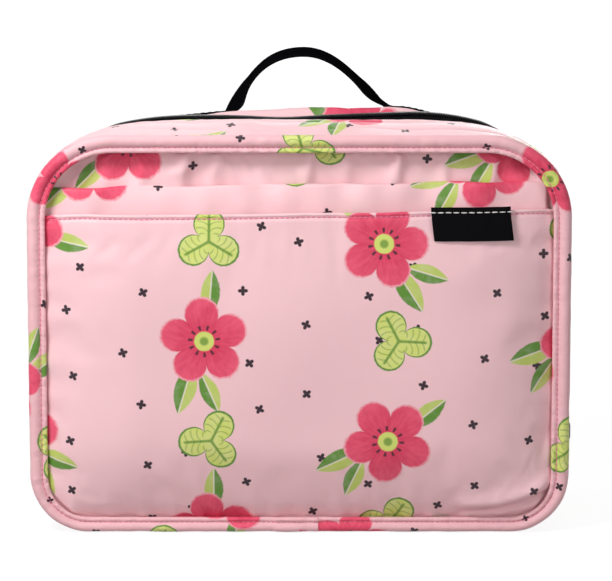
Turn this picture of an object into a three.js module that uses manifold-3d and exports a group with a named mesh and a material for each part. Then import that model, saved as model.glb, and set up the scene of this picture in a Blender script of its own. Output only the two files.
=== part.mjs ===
// Zip-around insulated case that stands upright: two padded shells that meet at a zip,
// a two-tier slip pocket on the front and a webbing handle on top.
// Millimetres. +Z is up, the front faces -Y and +X is to the right, seen from the front.
// The origin is under the base, in the plane of the zip.

import * as THREE from "three";
import { mergeVertices } from "three/addons/utils/BufferGeometryUtils.js";
import Module from "manifold-3d";

const wasm = await Module();
wasm.setup();

// Case
const CASE_WIDTH = 254; // over the bound edges
const CASE_HEIGHT = 190; // over the bound edges
const CASE_DEPTH = 84; // over the two bindings
const TOP_CORNER = 40; // corner radii of the bound edge
const BASE_CORNER = 28;
const RIM = 5; // how far the bound edge stands out past the gusset's seam
const TOP_LIFT = 2; // the padded top rises this far above the bound edge
const SIDE_SINK = 2; // the sides stay this far inside the bound edge at the zip
const BACK_CROWN = 3; // how far the padded back swells in its middle

// The soft top settles
const CROWN_WIDTH = 76; // half axes of the rounder top corners at the zip and behind it
const CROWN_HEIGHT = 36;
const BACK_SAG = 5.5; // the top edge of the back lies this much lower
const SETTLE_FROM = 110; // the walls settle above this height
const HANDLE_PULL = 4; // the handle lifts the cloth behind the zip by this much
const LEFT_PULL = 16; // over these distances beyond its roots
const RIGHT_PULL = 28;
const BACK_PULL = 14.5; // and over this distance towards the back

// Wall layers
const FABRIC = 0.9;
const FOAM = 4;
const LINING = 0.7;
const FIT = 0.3; // gap between layers that are sewn together

// Bound edge
const BINDING_WIDTH = 8.6;
const BINDING_THICKNESS = 4.2;
const LAP_START = -12; // where the binding's end is lapped over its start
const LAP_LENGTH = 21;
const LAP_STEP = 0.7;

// Zip
const ZIP_OPENING = 14; // between the gusset edges on either side of the chain
const ZIP_END = 32; // height of the ends of the run, on the sides
const TAPE = 0.7;
const TAPE_EDGE = 15; // reach of the tape from the middle of the chain
const CHAIN_WIDTH = 6.4;
const CHAIN_HEIGHT = 2.4;
const TOOTH_PITCH = 4.6;
const TOOTH_REACH = 1.1; // how far a tooth crosses the middle
const TOOTH_GAP = 0.45;

// Slider and pull
const SLIDER_LENGTH = 13;
const SLIDER_PLATE = 1.2;
const DIVIDER_LENGTH = 4;
const BAIL_REACH = 3.4; // half the length of the bail
const BAIL_HEIGHT = 3;
const BAIL_WIDTH = 1.8;
const BAIL_BAR = 1.1;
const PULL_LENGTH = 28;
const PULL_WIDTH = 7;
const PULL_THICKNESS = 1.3;

// Hinge strip under the base
const HINGE_WIDTH = 8;

// Pockets
const TALL_TOP = 165.5;
const SHORT_TOP = 154.5;
const POCKET_SPACE = 5; // room that each pocket adds in its middle
const PILLOW_REACH = 45; // distance from a seam at which the cloth stands at its full height
const HEM_DIP = 2.5; // the short pocket's edge falls this far towards its ends
const POCKET_SLOPE = 3; // the pockets' edges rise this far from left to right

// Woven tab
const TAB_WIDTH = 37;
const TAB_HEIGHT = 15.5;
const TAB_THICKNESS = 0.8;
const TAB_FROM_SIDE = 47.5; // from the bound edge to the middle of the tab
const TAB_ABOVE_HEM = 2.5;

// Handle
const WEB_WIDTH = 25;
const WEB = 1.8;
const HANDLE_FROM_BACK = 18; // from the back's bound edge to the middle of the webbing
const HANDLE_RISE = 29.2;
const LEFT_ROOT = -35; // where each leg leaves the top
const RIGHT_ROOT = 45;
const HANDLE_PEAK = 2; // the loop leans, so its peak is off the middle of its roots
const LEFT_TAIL = 24; // webbing sewn flat beyond each root
const RIGHT_TAIL = 19;
const ROOT_BEND = 8; // how sharply the webbing turns up at a root
const SHOULDER = 21; // how full the loop's sloping right shoulder is
const FREE_HEIGHT = 15; // the loop swings above this height, the feet bend below it

// Cold pack and its sleeve
const PACK_WIDTH = 150;
const PACK_HEIGHT = 112;
const PACK_THICKNESS = 12;
const PACK_FROM_BASE = 10; // height of the pack over the lining at the base
const PACK_EDGE = 1.2; // welded edge of the pouch
const SLEEVE_TOP = 96;
const SLEEVE_BORDER = 7; // sewn border of the sleeve
const SLEEVE_EASE = 3; // room round the pack
const SLEEVE_WALL = 5; // how soon the sleeve rises from its border
const NET = 0.8;

// Facets
const CORNER_STEPS = 7;
const TOP_SHARES = [0.92, 0.71, 0.52]; // places along each half of the straight top edge
const PULL_STEPS = 6; // places over the reach of the handle's pull
const COLUMNS = 12;

// Depths of the layers on each side of the zip, from the outside in
const SEAM = CASE_DEPTH / 2 - BINDING_THICKNESS - FIT;
const LAYER = FABRIC + FIT;
const SHORT_FACE = SEAM;
const TALL_FACE = SHORT_FACE - LAYER;
const FRONT_FACE = TALL_FACE - LAYER;
const BACK_FACE = SEAM;
const ZIP_EDGE = ZIP_OPENING / 2;
const HINGE_EDGE = HINGE_WIDTH / 2 + FIT;
const FOAM_DEPTH = LAYER;
const LINING_DEPTH = FOAM_DEPTH + FOAM + FIT;
const TAPE_DEPTH = LAYER;
const CHAIN_DEPTH = TAPE_DEPTH + TAPE / 2;
const MOUTH_DEPTH = TAPE_DEPTH + TAPE + FIT;
const HANDLE_Y = CASE_DEPTH / 2 - HANDLE_FROM_BACK;
const PANEL_INSET = RIM + LAYER;
const FOAM_INSET = PANEL_INSET + FOAM + FIT;

// Materials, from the photograph
const PRINT = { color: 0xeebfc8, roughness: 0.55, metalness: 0 };
const BLACK = { color: 0x17171a, roughness: 0.7, metalness: 0 };
const COIL = { color: 0x1c1c1f, roughness: 0.4, metalness: 0 };
const NICKEL = { color: 0x3a3a3e, roughness: 0.35, metalness: 0.8 };
const SILVER = { color: 0xc9ccd0, roughness: 0.35, metalness: 0.3 };
const FOAMED = { color: 0xe9e6df, roughness: 0.9, metalness: 0 };
const GEL = { color: 0xcfe3ef, roughness: 0.3, metalness: 0 };
const MESH = { color: 0xdcdcdc, roughness: 0.8, metalness: 0 };

const { smoothstep } = THREE.MathUtils;

// Solids from sections

// Triangles that close a section, turned the way the section runs.
function cap(section) {
  const normal = new THREE.Vector3();
  section.forEach((p, i) => normal.add(p.clone().cross(section[(i + 1) % section.length])));
  const axis = ["x", "y", "z"].reduce((a, b) => {
    return Math.abs(normal[a]) > Math.abs(normal[b]) ? a : b;
  });
  const [u, v] = { x: ["y", "z"], y: ["z", "x"], z: ["x", "y"] }[axis];
  const flat = section.map((p) => new THREE.Vector2(p[u], p[v]));
  const along = THREE.ShapeUtils.area(flat);
  return THREE.ShapeUtils.triangulateShape(flat, []).map(([a, b, c]) => {
    const turn = THREE.ShapeUtils.area([flat[a], flat[b], flat[c]]);
    return turn * along > 0 ? [a, b, c] : [a, c, b];
  });
}

// A closed skin through sections of equal length, joined in a loop or capped at both ends.
function skin(sections, loop = false) {
  const n = sections[0].length;
  const last = sections.length - 1;
  const faces = [];
  for (let k = 0; k < (loop ? last + 1 : last); k++) {
    const next = ((k + 1) % sections.length) * n;
    for (let i = 0; i < n; i++) {
      const j = (i + 1) % n;
      faces.push([k * n + i, k * n + j, next + j], [k * n + i, next + j, next + i]);
    }
  }
  if (!loop) {
    cap(sections[0]).forEach(([a, b, c]) => faces.push([a, c, b]));
    cap(sections[last]).forEach((f) => faces.push(f.map((i) => last * n + i)));
  }
  const points = sections.flat();
  const volume = faces.reduce((sum, [a, b, c]) => {
    return sum + points[a].dot(points[b].clone().cross(points[c]));
  }, 0);
  const outward = volume > 0 ? faces : faces.map(([a, b, c]) => [a, c, b]);
  const geometry = new THREE.BufferGeometry().setFromPoints(points);
  geometry.setIndex(outward.flat());
  return geometry;
}

function solid(geometry) {
  const plain = geometry.clone();
  plain.deleteAttribute("normal");
  plain.deleteAttribute("uv");
  const merged = mergeVertices(plain, 1e-4);
  const mesh = new wasm.Mesh({
    numProp: 3,
    vertProperties: new Float32Array(merged.attributes.position.array),
    triVerts: new Uint32Array(merged.index.array),
  });
  return new wasm.Manifold(mesh);
}

function surfaceOf(body) {
  const mesh = body.getMesh();
  const geometry = new THREE.BufferGeometry();
  geometry.setAttribute("position", new THREE.BufferAttribute(mesh.vertProperties, 3));
  geometry.setIndex(new THREE.BufferAttribute(mesh.triVerts, 1));
  return geometry;
}

function join(...geometries) {
  return surfaceOf(geometries.map(solid).reduce((a, b) => a.add(b)));
}

function cut(geometry, ...tools) {
  return surfaceOf(tools.map(solid).reduce((a, b) => a.subtract(b), solid(geometry)));
}

function block(x0, x1, y0, y1, z0, z1) {
  const box = new THREE.BoxGeometry(x1 - x0, y1 - y0, z1 - z0);
  return box.translate((x0 + x1) / 2, (y0 + y1) / 2, (z0 + z1) / 2);
}

// Outline of the case: places on the bound edge with the outward direction at each.

function corner(side, top, from, to) {
  const radius = top ? TOP_CORNER : BASE_CORNER;
  const height = top ? CASE_HEIGHT - radius : radius;
  const centre = new THREE.Vector2(side * (CASE_WIDTH / 2 - radius), height);
  return Array.from({ length: CORNER_STEPS + 1 }, (_, i) => {
    const angle = THREE.MathUtils.degToRad(from + ((to - from) * i) / CORNER_STEPS);
    const out = new THREE.Vector2(Math.cos(angle), Math.sin(angle));
    return { at: centre.clone().addScaledVector(out, radius), out };
  });
}

function place(x, z, outX, outZ) {
  return { at: new THREE.Vector2(x, z), out: new THREE.Vector2(outX, outZ) };
}

// The top with its corners, and places along its straight edge at distances from the middle.
function topRun(distances) {
  const edge = distances.toSorted((a, b) => b - a).map((x) => place(x, CASE_HEIGHT, 0, 1));
  return [...corner(1, true, 0, 90), ...edge, ...corner(-1, true, 90, 180)];
}

const straightTop = CASE_WIDTH / 2 - TOP_CORNER;
const topPlaces = TOP_SHARES.flatMap((share) => [share * straightTop, -share * straightTop]);
const topCorners = topRun(topPlaces);
const baseCorners = [...corner(-1, false, 180, 270), ...corner(1, false, -90, 0)];
const outline = [...topCorners, ...baseCorners];

// The zip's run over the top and down both sides, and the base below its ends.
function overTop(run) {
  return [place(CASE_WIDTH / 2, ZIP_END, 1, 0), ...run, place(-CASE_WIDTH / 2, ZIP_END, -1, 0)];
}

const zipRun = overTop(topCorners);
const baseRun = [
  place(-CASE_WIDTH / 2, ZIP_END - FIT, -1, 0),
  ...baseCorners,
  place(CASE_WIDTH / 2, ZIP_END - FIT, 1, 0),
];

// Places at even steps along a run.
function walk(run, count) {
  const reach = [0];
  for (let i = 1; i < run.length; i++) {
    reach.push(reach[i - 1] + run[i].at.distanceTo(run[i - 1].at));
  }
  return Array.from({ length: count + 1 }, (_, k) => {
    const goal = (reach.at(-1) * k) / count;
    const i = Math.max(1, reach.findIndex((r) => r >= goal - 1e-9));
    const t = (goal - reach[i - 1]) / (reach[i] - reach[i - 1]);
    const at = run[i - 1].at.clone().lerp(run[i].at, t);
    const out = run[i - 1].out.clone().lerp(run[i].out, t).normalize();
    return { at, out };
  });
}

// The gusset swells between its seams: how far its outer face stands over the bound edge.
function swell(y, out) {
  const rise = RIM + TOP_LIFT * Math.max(0, out.y) ** 2 - SIDE_SINK * out.x ** 2;
  return rise * (1 - (y / SEAM) ** 2) - RIM;
}

// A point in the wall, at a depth under the gusset's outer face.
function inWall(station, y, depth) {
  const p = station.at.clone().addScaledVector(station.out, swell(y, station.out) - depth);
  return new THREE.Vector3(p.x, y, p.y);
}

// How far an outline with rounded top corners of these half axes has fallen at x.
function cornerFall(x, width, height) {
  const run = Math.max(0, Math.abs(x) - CASE_WIDTH / 2 + width) / width;
  return height * (1 - Math.sqrt(Math.max(0, 1 - run ** 2)));
}

// How far the soft top settles: its corners are rounder at the zip and behind it, and the top
// of the back lies lower.
function settle(x, y, z) {
  const rounder = cornerFall(x, CROWN_WIDTH, CROWN_HEIGHT) - cornerFall(x, TOP_CORNER, TOP_CORNER);
  const behind = THREE.MathUtils.clamp(1 + y / SEAM, 0, 1);
  const fall = Math.max(0, rounder) * behind + BACK_SAG * Math.max(0, y / SEAM);
  return fall * smoothstep(z, SETTLE_FROM, CASE_HEIGHT);
}

// How far the handle lifts the cloth behind the zip.
function pullUp(x, y) {
  const left = smoothstep(x, LEFT_ROOT - LEFT_PULL, LEFT_ROOT);
  const right = 1 - smoothstep(x, RIGHT_ROOT, RIGHT_ROOT + RIGHT_PULL);
  const near = smoothstep(y, ZIP_EDGE, HANDLE_Y - WEB_WIDTH / 2);
  const far = 1 - smoothstep(y, SEAM - BACK_PULL, SEAM);
  return HANDLE_PULL * left * right * near * far;
}

// A piece of the shell as it stands, with the handle's pull on the cloth that it is sewn to.
function settled(geometry, pulled = false) {
  const place = geometry.attributes.position;
  for (let i = 0; i < place.count; i++) {
    const [x, y, z] = [place.getX(i), place.getY(i), place.getZ(i)];
    const lift = pulled && z > SETTLE_FROM ? pullUp(x, y) : 0;
    place.setZ(i, z - settle(x, y, z) + lift);
  }
  return geometry;
}

// A layer of the wall along a run, from one distance y to another.
function layer(run, ys, depth, thickness, loop = false) {
  const sections = run.map((s) => [
    ...ys.map((y) => inWall(s, y, depth)),
    ...ys.toReversed().map((y) => inWall(s, y, depth + thickness)),
  ]);
  return skin(sections, loop);
}

// Evenly spread values from one end to the other.
function spread(from, to, count) {
  return Array.from({ length: count + 1 }, (_, i) => from + ((to - from) * i) / count);
}

// Panels

// Half the width at a height, for an outline set in from the bound edge.
function halfWidth(z, inset) {
  const atBase = z < CASE_HEIGHT / 2;
  const radius = atBase ? BASE_CORNER : TOP_CORNER;
  const rise = Math.max(0, atBase ? radius - z : z - (CASE_HEIGHT - radius));
  const arc = Math.sqrt(Math.max(0, (radius - inset) ** 2 - rise ** 2));
  return CASE_WIDTH / 2 - radius + arc;
}

// Distance to the nearest sewn edge. A pocket is open at the top.
function toSeam(x, z, inset, open) {
  const side = CASE_WIDTH / 2 - inset - Math.abs(x);
  const base = z - inset;
  const top = open ? Infinity : CASE_HEIGHT - inset - z;
  const end = Math.min(base, top);
  const radius = (base < top ? BASE_CORNER : TOP_CORNER) - inset;
  const inCorner = side < radius && end < radius;
  return inCorner ? radius - Math.hypot(radius - side, radius - end) : Math.min(side, end);
}

// Sewn cloth rises from the inner edge of its binding to a full height of 1.
function pillow(x, z, open) {
  const rise = Math.max(0, toSeam(x, z, BINDING_WIDTH + FIT, open));
  return 1 - (1 - Math.min(1, rise / PILLOW_REACH)) ** 2;
}

// Heights of the rows of a panel: close together in the rounded corners.
function rowHeights(inset, top) {
  const arcs = spread(0, Math.PI / 2, 5);
  const low = arcs.map((a) => BASE_CORNER - (BASE_CORNER - inset) * Math.cos(a));
  if (top < CASE_HEIGHT - inset) {
    return [...low, ...spread(low.at(-1), top, 5).slice(1)];
  }
  const high = arcs.map((a) => CASE_HEIGHT - TOP_CORNER + (TOP_CORNER - inset) * Math.sin(a));
  return [...low, ...spread(low.at(-1), high[0], 4).slice(1, -1), ...high];
}

// A sheet of cloth whose outer face lies at face(x, z), on the side away from the zip.
function panel({ inset, top, side, thickness, face, dip = 0, slope = 0 }) {
  const across = spread(-1, 1, COLUMNS).map((t) => Math.sin((t * Math.PI) / 2));
  const bottom = inset;
  const sections = rowHeights(inset, top).map((row) => {
    const share = ((row - bottom) / (top - bottom)) ** 2;
    const points = across.map((u) => {
      const z = row - dip * share * u ** 4 + (slope * share * u) / 2;
      const x = u * halfWidth(z, inset);
      return new THREE.Vector3(x, side * face(x, z), z);
    });
    const inner = points.map((p) => p.clone().setY(p.y - side * thickness));
    return [...points, ...inner.reverse()];
  });
  return skin(sections);
}

function roundedOutline(inset) {
  const shape = new THREE.Shape();
  const ring = outline.map((s) => s.at.clone().addScaledVector(s.out, -inset));
  shape.setFromPoints(ring);
  return shape;
}

// A flat sheet inside the outline, between two distances from the zip.
function sheet(inset, side, outer, thickness) {
  const slab = new THREE.ExtrudeGeometry(roundedOutline(inset), {
    depth: thickness,
    bevelEnabled: false,
  });
  slab.rotateX(Math.PI / 2);
  return slab.translate(0, side > 0 ? outer : thickness - outer, 0);
}

// Shell pieces, made for the front (side -1) or the back (side +1)

function gusset(run, side, edge) {
  return layer(run, spread(SEAM, edge, 4).map((y) => side * y), 0, FABRIC);
}

function gussetFoam(side, face) {
  const from = face - LAYER;
  return layer(outline, spread(from, TAPE_EDGE + FIT, 3).map((y) => side * y),
    FOAM_DEPTH, FOAM, true);
}

// The lining is a shallow tub. Its mouth turns up to the zip's tape.
function lining(side, face) {
  const floor = face - LAYER - FOAM - FIT;
  const profile = [
    [floor, LINING_DEPTH],
    [TAPE_EDGE - FIT, LINING_DEPTH],
    [TAPE_EDGE - 3, MOUTH_DEPTH],
    [ZIP_EDGE + 2, MOUTH_DEPTH],
  ];
  const inner = profile.map(([y, depth]) => [y, depth + LINING]).reverse();
  inner[inner.length - 1][0] -= LINING;
  const rings = [...profile, ...inner].map(([y, depth]) => {
    return outline.map((s) => inWall(s, side * y, depth));
  });
  return skin(rings);
}

// The bound edge, rounded outside and flat where it stands.
function binding(side, lap) {
  const face = CASE_DEPTH / 2;
  const rear = face - BINDING_THICKNESS;
  const profile = [
    [0, face - 1.2],
    [0, rear + 1],
    [-1, rear],
    [1 - BINDING_WIDTH, rear],
    [-BINDING_WIDTH, rear + 1],
    [0.5 - BINDING_WIDTH, face - 1.3],
    [-0.62 * BINDING_WIDTH, face - 0.2],
    [-0.3 * BINDING_WIDTH, face],
    [-1.1, face - 0.4],
  ];
  const ring = lap ? [...outline.slice(0, outline.length - CORNER_STEPS - 1)] : outline;
  if (lap) {
    const end = LAP_START + LAP_LENGTH;
    for (const x of [LAP_START - 0.6, LAP_START, end - 0.1, end]) {
      ring.push({ ...place(x, 0, 0, -1), lapped: x === LAP_START || x === end - 0.1 });
    }
    ring.push(...outline.slice(outline.length - CORNER_STEPS - 1));
  }
  const sections = ring.map((s) => profile.map(([r, y]) => {
    const raised = s.lapped && y > face - 2 && r < 0 ? LAP_STEP : 0;
    const p = s.at.clone().addScaledVector(s.out, r);
    return new THREE.Vector3(p.x, side * (y + raised), p.y);
  }));
  return skin(sections, true);
}

function tape(side) {
  const ys = [CHAIN_WIDTH / 2 + FIT, ZIP_EDGE, TAPE_EDGE].map((y) => side * y);
  return layer(zipRun, ys, TAPE_DEPTH, TAPE);
}

// Half of the zip's chain. The teeth of one half stand between those of the other.
// The chain stops inside the slider, where the divider parts the two halves.
const sliderRest = ZIP_END + SLIDER_LENGTH / 2 + 1;
const chainRun = [place(CASE_WIDTH / 2, sliderRest, 1, 0), ...zipRun.slice(1)];

function chain(side) {
  const run = chainRun;
  const length = run.slice(1).reduce((sum, s, i) => sum + s.at.distanceTo(run[i].at), 0);
  const steps = 2 * Math.round(length / TOOTH_PITCH);
  const high = CHAIN_DEPTH - CHAIN_HEIGHT / 2;
  const low = CHAIN_DEPTH + CHAIN_HEIGHT / 2;
  const sections = walk(run, steps).map((s, k) => {
    const middle = k % 2 ? TOOTH_REACH : -TOOTH_REACH;
    const inner = middle + (side * TOOTH_GAP) / 2;
    const outer = (side * CHAIN_WIDTH) / 2;
    return [inWall(s, outer, high), inWall(s, outer, low),
      inWall(s, inner, low), inWall(s, inner, high)];
  });
  return skin(sections);
}

// The hinge strip lies flat under the base and turns up at both corners with the gussets.
function hingeStrip() {
  const edge = HINGE_WIDTH / 2;
  const sections = baseRun.map((s) => {
    return [[0, -edge], [0, edge], [FABRIC, edge], [FABRIC, -edge]].map(([depth, y]) => {
      const p = s.at.clone().addScaledVector(s.out, swell(0, s.out) - depth);
      return new THREE.Vector3(p.x, y, p.y);
    });
  });
  return skin(sections);
}

// Pockets: each is sewn into the bound edge at the sides and the base, and open at the top.

function tallFace(x, z) {
  return TALL_FACE + POCKET_SPACE * pillow(x, z, true);
}

function shortFace(x, z) {
  return SHORT_FACE + 2 * POCKET_SPACE * pillow(x, z, true);
}

function tallPocket() {
  return panel({
    inset: PANEL_INSET, top: TALL_TOP, side: -1, thickness: FABRIC, face: tallFace,
    slope: POCKET_SLOPE,
  });
}

function shortPocket() {
  return panel({
    inset: PANEL_INSET, top: SHORT_TOP, side: -1, thickness: FABRIC, face: shortFace,
    dip: HEM_DIP, slope: POCKET_SLOPE,
  });
}

// The tab follows the pocket's face below its sewn top edge.
function wovenTab() {
  const top = SHORT_TOP + TAB_ABOVE_HEM;
  const sections = spread(-TAB_WIDTH / 2, TAB_WIDTH / 2, 4).map((dx) => {
    const x = CASE_WIDTH / 2 - TAB_FROM_SIDE + dx;
    const y = -shortFace(x, SHORT_TOP) - FIT;
    return [[y, top], [y, top - TAB_HEIGHT], [y - TAB_THICKNESS, top - TAB_HEIGHT],
      [y - TAB_THICKNESS, top]].map(([v, z]) => new THREE.Vector3(x, v, z));
  });
  return skin(sections);
}

// Handle: one length of webbing. Its line runs from tail to tail at a height over the top.

const upward = new THREE.Vector2(0, 1);

function topHeight(y) {
  return CASE_HEIGHT + swell(y, upward);
}

const [tailLeft, rootLeft, turnLeft, fullLeft, peak, fullRight, turnRight, rootRight, tailRight] = [
  [LEFT_ROOT - LEFT_TAIL, 0],
  [LEFT_ROOT, 0],
  [LEFT_ROOT + ROOT_BEND, 0],
  [LEFT_ROOT + ROOT_BEND, HANDLE_RISE],
  [HANDLE_PEAK, HANDLE_RISE],
  [RIGHT_ROOT - SHOULDER, HANDLE_RISE],
  [RIGHT_ROOT - ROOT_BEND, 0],
  [RIGHT_ROOT, 0],
  [RIGHT_ROOT + RIGHT_TAIL, 0],
].map(([x, z]) => new THREE.Vector3(x, 0, z));
const handleLine = new THREE.CurvePath();
handleLine.add(new THREE.LineCurve3(tailLeft, rootLeft));
handleLine.add(new THREE.CubicBezierCurve3(rootLeft, turnLeft, fullLeft, peak));
handleLine.add(new THREE.CubicBezierCurve3(peak, fullRight, turnRight, rootRight));
handleLine.add(new THREE.LineCurve3(rootRight, tailRight));

// The cloth that the handle is sewn to, and the webbing's places across it.
const webAcross = spread(-WEB_WIDTH / 2, WEB_WIDTH / 2, 4);

function sewnHeight(x, y) {
  return topHeight(y) - settle(x, y, CASE_HEIGHT) + pullUp(x, y);
}

const rootHeight = (sewnHeight(LEFT_ROOT, HANDLE_Y) + sewnHeight(RIGHT_ROOT, HANDLE_Y)) / 2;

function handleGusset() {
  const run = overTop(topRun([
    ...topPlaces.slice(0, 4),
    ...spread(RIGHT_ROOT, RIGHT_ROOT + RIGHT_PULL, PULL_STEPS),
    ...spread(LEFT_ROOT - LEFT_PULL, LEFT_ROOT, PULL_STEPS),
  ]));
  const ys = webAcross.map((w) => HANDLE_Y - w);
  return layer(run, [SEAM, ...ys, ZIP_EDGE], 0, FABRIC);
}

// Webbing across the handle's line: it lies on the rounded top and straightens as it rises.
function webSection(t) {
  const p = handleLine.getPoint(t);
  const along = handleLine.getTangent(t);
  const up = new THREE.Vector3(-along.z, 0, along.x);
  const flatness = 1 - smoothstep(p.z, 0, FREE_HEIGHT);
  const ring = [];
  for (const [level, order] of [[0, 1], [WEB, -1]]) {
    for (const w of webAcross.map((v) => v * order)) {
      const y = HANDLE_Y + w;
      const base = THREE.MathUtils.lerp(rootHeight, sewnHeight(p.x, y), flatness) + FIT;
      ring.push(new THREE.Vector3(p.x + up.x * level, y, base + p.z + up.z * level));
    }
  }
  return ring;
}

// Places along the handle's line where the loop begins and ends.
const lineSteps = spread(0, 1, 400);
const loopStart = lineSteps.find((t) => handleLine.getPoint(t).z >= FREE_HEIGHT);
const loopEnd = lineSteps.findLast((t) => handleLine.getPoint(t).z >= FREE_HEIGHT);
const handleLength = handleLine.getLength();

function webbing(from, to, count) {
  return skin(spread(from, to, count).map(webSection));
}

// Slider, at its rest at the right-hand end of the run. x is outward from the chain's middle.

const sliderX = CASE_WIDTH / 2 + swell(0, new THREE.Vector2(1, 0)) - CHAIN_DEPTH;
const plateInner = CHAIN_HEIGHT / 2 + FIT;
const plateOuter = plateInner + SLIDER_PLATE;
const throat = CHAIN_WIDTH / 2 + FIT;
const pinX = plateOuter + FIT + PULL_THICKNESS / 2;

// Drawn plans lie across y and z and are as thick as x, or stand on the slider along z.
const axisX = new THREE.Vector3(1, 0, 0);
const axisY = new THREE.Vector3(0, 1, 0);
const axisZ = new THREE.Vector3(0, 0, 1);
const facingOut = new THREE.Matrix4().makeBasis(axisY, axisZ, axisX);
const standingOut = new THREE.Matrix4().makeBasis(axisZ, axisX, axisY);

function plate(from, to) {
  const end = SLIDER_LENGTH / 2;
  const shape = new THREE.Shape();
  const wide = throat + 1.5;
  const slim = throat + 0.9;
  shape.moveTo(-slim + 0.8, end);
  shape.lineTo(slim - 0.8, end);
  shape.quadraticCurveTo(slim, end, slim, end - 1);
  shape.lineTo(wide, -end * 0.35);
  shape.lineTo(wide, 1.5 - end);
  shape.quadraticCurveTo(wide, -end, wide - 1.5, -end);
  shape.lineTo(1.5 - wide, -end);
  shape.quadraticCurveTo(-wide, -end, -wide, 1.5 - end);
  shape.lineTo(-wide, -end * 0.35);
  shape.lineTo(-slim, end - 1);
  shape.quadraticCurveTo(-slim, end, 0.8 - slim, end);
  const slab = new THREE.ExtrudeGeometry(shape, {
    depth: to - from, bevelEnabled: false, curveSegments: 3,
  });
  return slab.applyMatrix4(facingOut).translate(from, 0, 0);
}

// A bail is a flat bar bent into an arch over the slider's crown.
function bail() {
  const reach = BAIL_REACH;
  const arch = new THREE.Shape();
  arch.moveTo(-reach - BAIL_BAR, 0);
  arch.lineTo(-reach - BAIL_BAR, BAIL_HEIGHT - 0.6);
  arch.quadraticCurveTo(-reach - BAIL_BAR, BAIL_HEIGHT + 0.6, -reach + 0.6, BAIL_HEIGHT + 0.8);
  arch.lineTo(reach - 0.6, BAIL_HEIGHT + 0.8);
  arch.quadraticCurveTo(reach + BAIL_BAR, BAIL_HEIGHT + 0.6, reach + BAIL_BAR, BAIL_HEIGHT - 0.6);
  arch.lineTo(reach + BAIL_BAR, 0);
  arch.lineTo(reach, 0);
  arch.lineTo(reach, BAIL_HEIGHT - 0.8);
  arch.lineTo(-reach, BAIL_HEIGHT - 0.8);
  arch.lineTo(-reach, 0);
  const bar = new THREE.ExtrudeGeometry(arch, {
    depth: BAIL_WIDTH, bevelEnabled: false, curveSegments: 3,
  });
  return bar.translate(0, 0, -BAIL_WIDTH / 2).applyMatrix4(standingOut);
}

function slider() {
  const end = SLIDER_LENGTH / 2;
  const slot = TAPE / 2 + FIT;
  const body = plate(-plateOuter, plateOuter);
  const channel = block(-plateInner, plateInner, -throat, throat, -end - 1, end + 1);
  const tapeSlot = block(-slot, slot, -2 * throat, 2 * throat, -end - 1, end + 1);
  const divider = block(-plateInner - 0.1, plateInner + 0.1, -1, 1, -end + 0.6,
    -end + 0.6 + DIVIDER_LENGTH);
  const arch = bail().translate(plateOuter - 0.1, 0, 0);
  return join(cut(body, channel, tapeSlot), divider, arch);
}

// The pull hangs from the pin under the bail. The bail passes through its window.
function pull() {
  const shape = new THREE.Shape();
  const pin = PULL_THICKNESS / 2;
  const half = PULL_WIDTH / 2;
  const neck = BAIL_WIDTH / 2 + FIT + 1.2;
  const window = BAIL_REACH + BAIL_BAR + 1.2;
  shape.moveTo(-neck, pin);
  shape.lineTo(neck, pin);
  shape.lineTo(neck, -window - 1);
  shape.lineTo(half, -window - 4);
  shape.lineTo(half, half - PULL_LENGTH);
  shape.absarc(0, half - PULL_LENGTH, half, 0, -Math.PI, true);
  shape.lineTo(-half, -window - 4);
  shape.lineTo(-neck, -window - 1);
  shape.closePath();
  const eye = new THREE.Path();
  const side = BAIL_WIDTH / 2 + FIT;
  eye.moveTo(-side, -pin);
  eye.lineTo(-side, -window);
  eye.lineTo(side, -window);
  eye.lineTo(side, -pin);
  eye.closePath();
  shape.holes.push(eye);
  const tabEye = new THREE.Path();
  tabEye.absarc(0, half - PULL_LENGTH, half - 1.8, 0, 2 * Math.PI);
  shape.holes.push(tabEye);
  const blank = new THREE.ExtrudeGeometry(shape, {
    depth: PULL_THICKNESS, bevelEnabled: false, curveSegments: 8,
  });
  return blank.translate(0, 0, -PULL_THICKNESS / 2).applyMatrix4(facingOut);
}

// Cold pack: a flat pouch swollen by its gel, in a net sleeve on the back lining.

const backFloor = BACK_FACE - LAYER - FOAM - FIT - LINING;
const packBase = RIM + LINING_DEPTH + LINING + PACK_FROM_BASE;
const packBack = backFloor - FIT;

function packSwell(x, z) {
  const u = (2 * x) / PACK_WIDTH;
  const v = (2 * (z - packBase)) / PACK_HEIGHT - 1;
  return Math.sqrt(Math.max(0, (1 - u ** 4) * (1 - v ** 4)));
}

function coldPack() {
  const across = spread(-1, 1, 10).map((t) => Math.sin((t * Math.PI) / 2));
  const rows = spread(-1, 1, 8).map((t) => Math.sin((t * Math.PI) / 2));
  const sections = rows.map((v) => {
    const z = packBase + (PACK_HEIGHT * (v + 1)) / 2;
    const points = across.map((u) => {
      const x = (PACK_WIDTH * u) / 2;
      const depth = PACK_EDGE + (PACK_THICKNESS - PACK_EDGE) * packSwell(x, z);
      return new THREE.Vector3(x, packBack - depth, z);
    });
    return [...points, ...points.map((p) => p.clone().setY(packBack)).reverse()];
  });
  return skin(sections);
}

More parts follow.
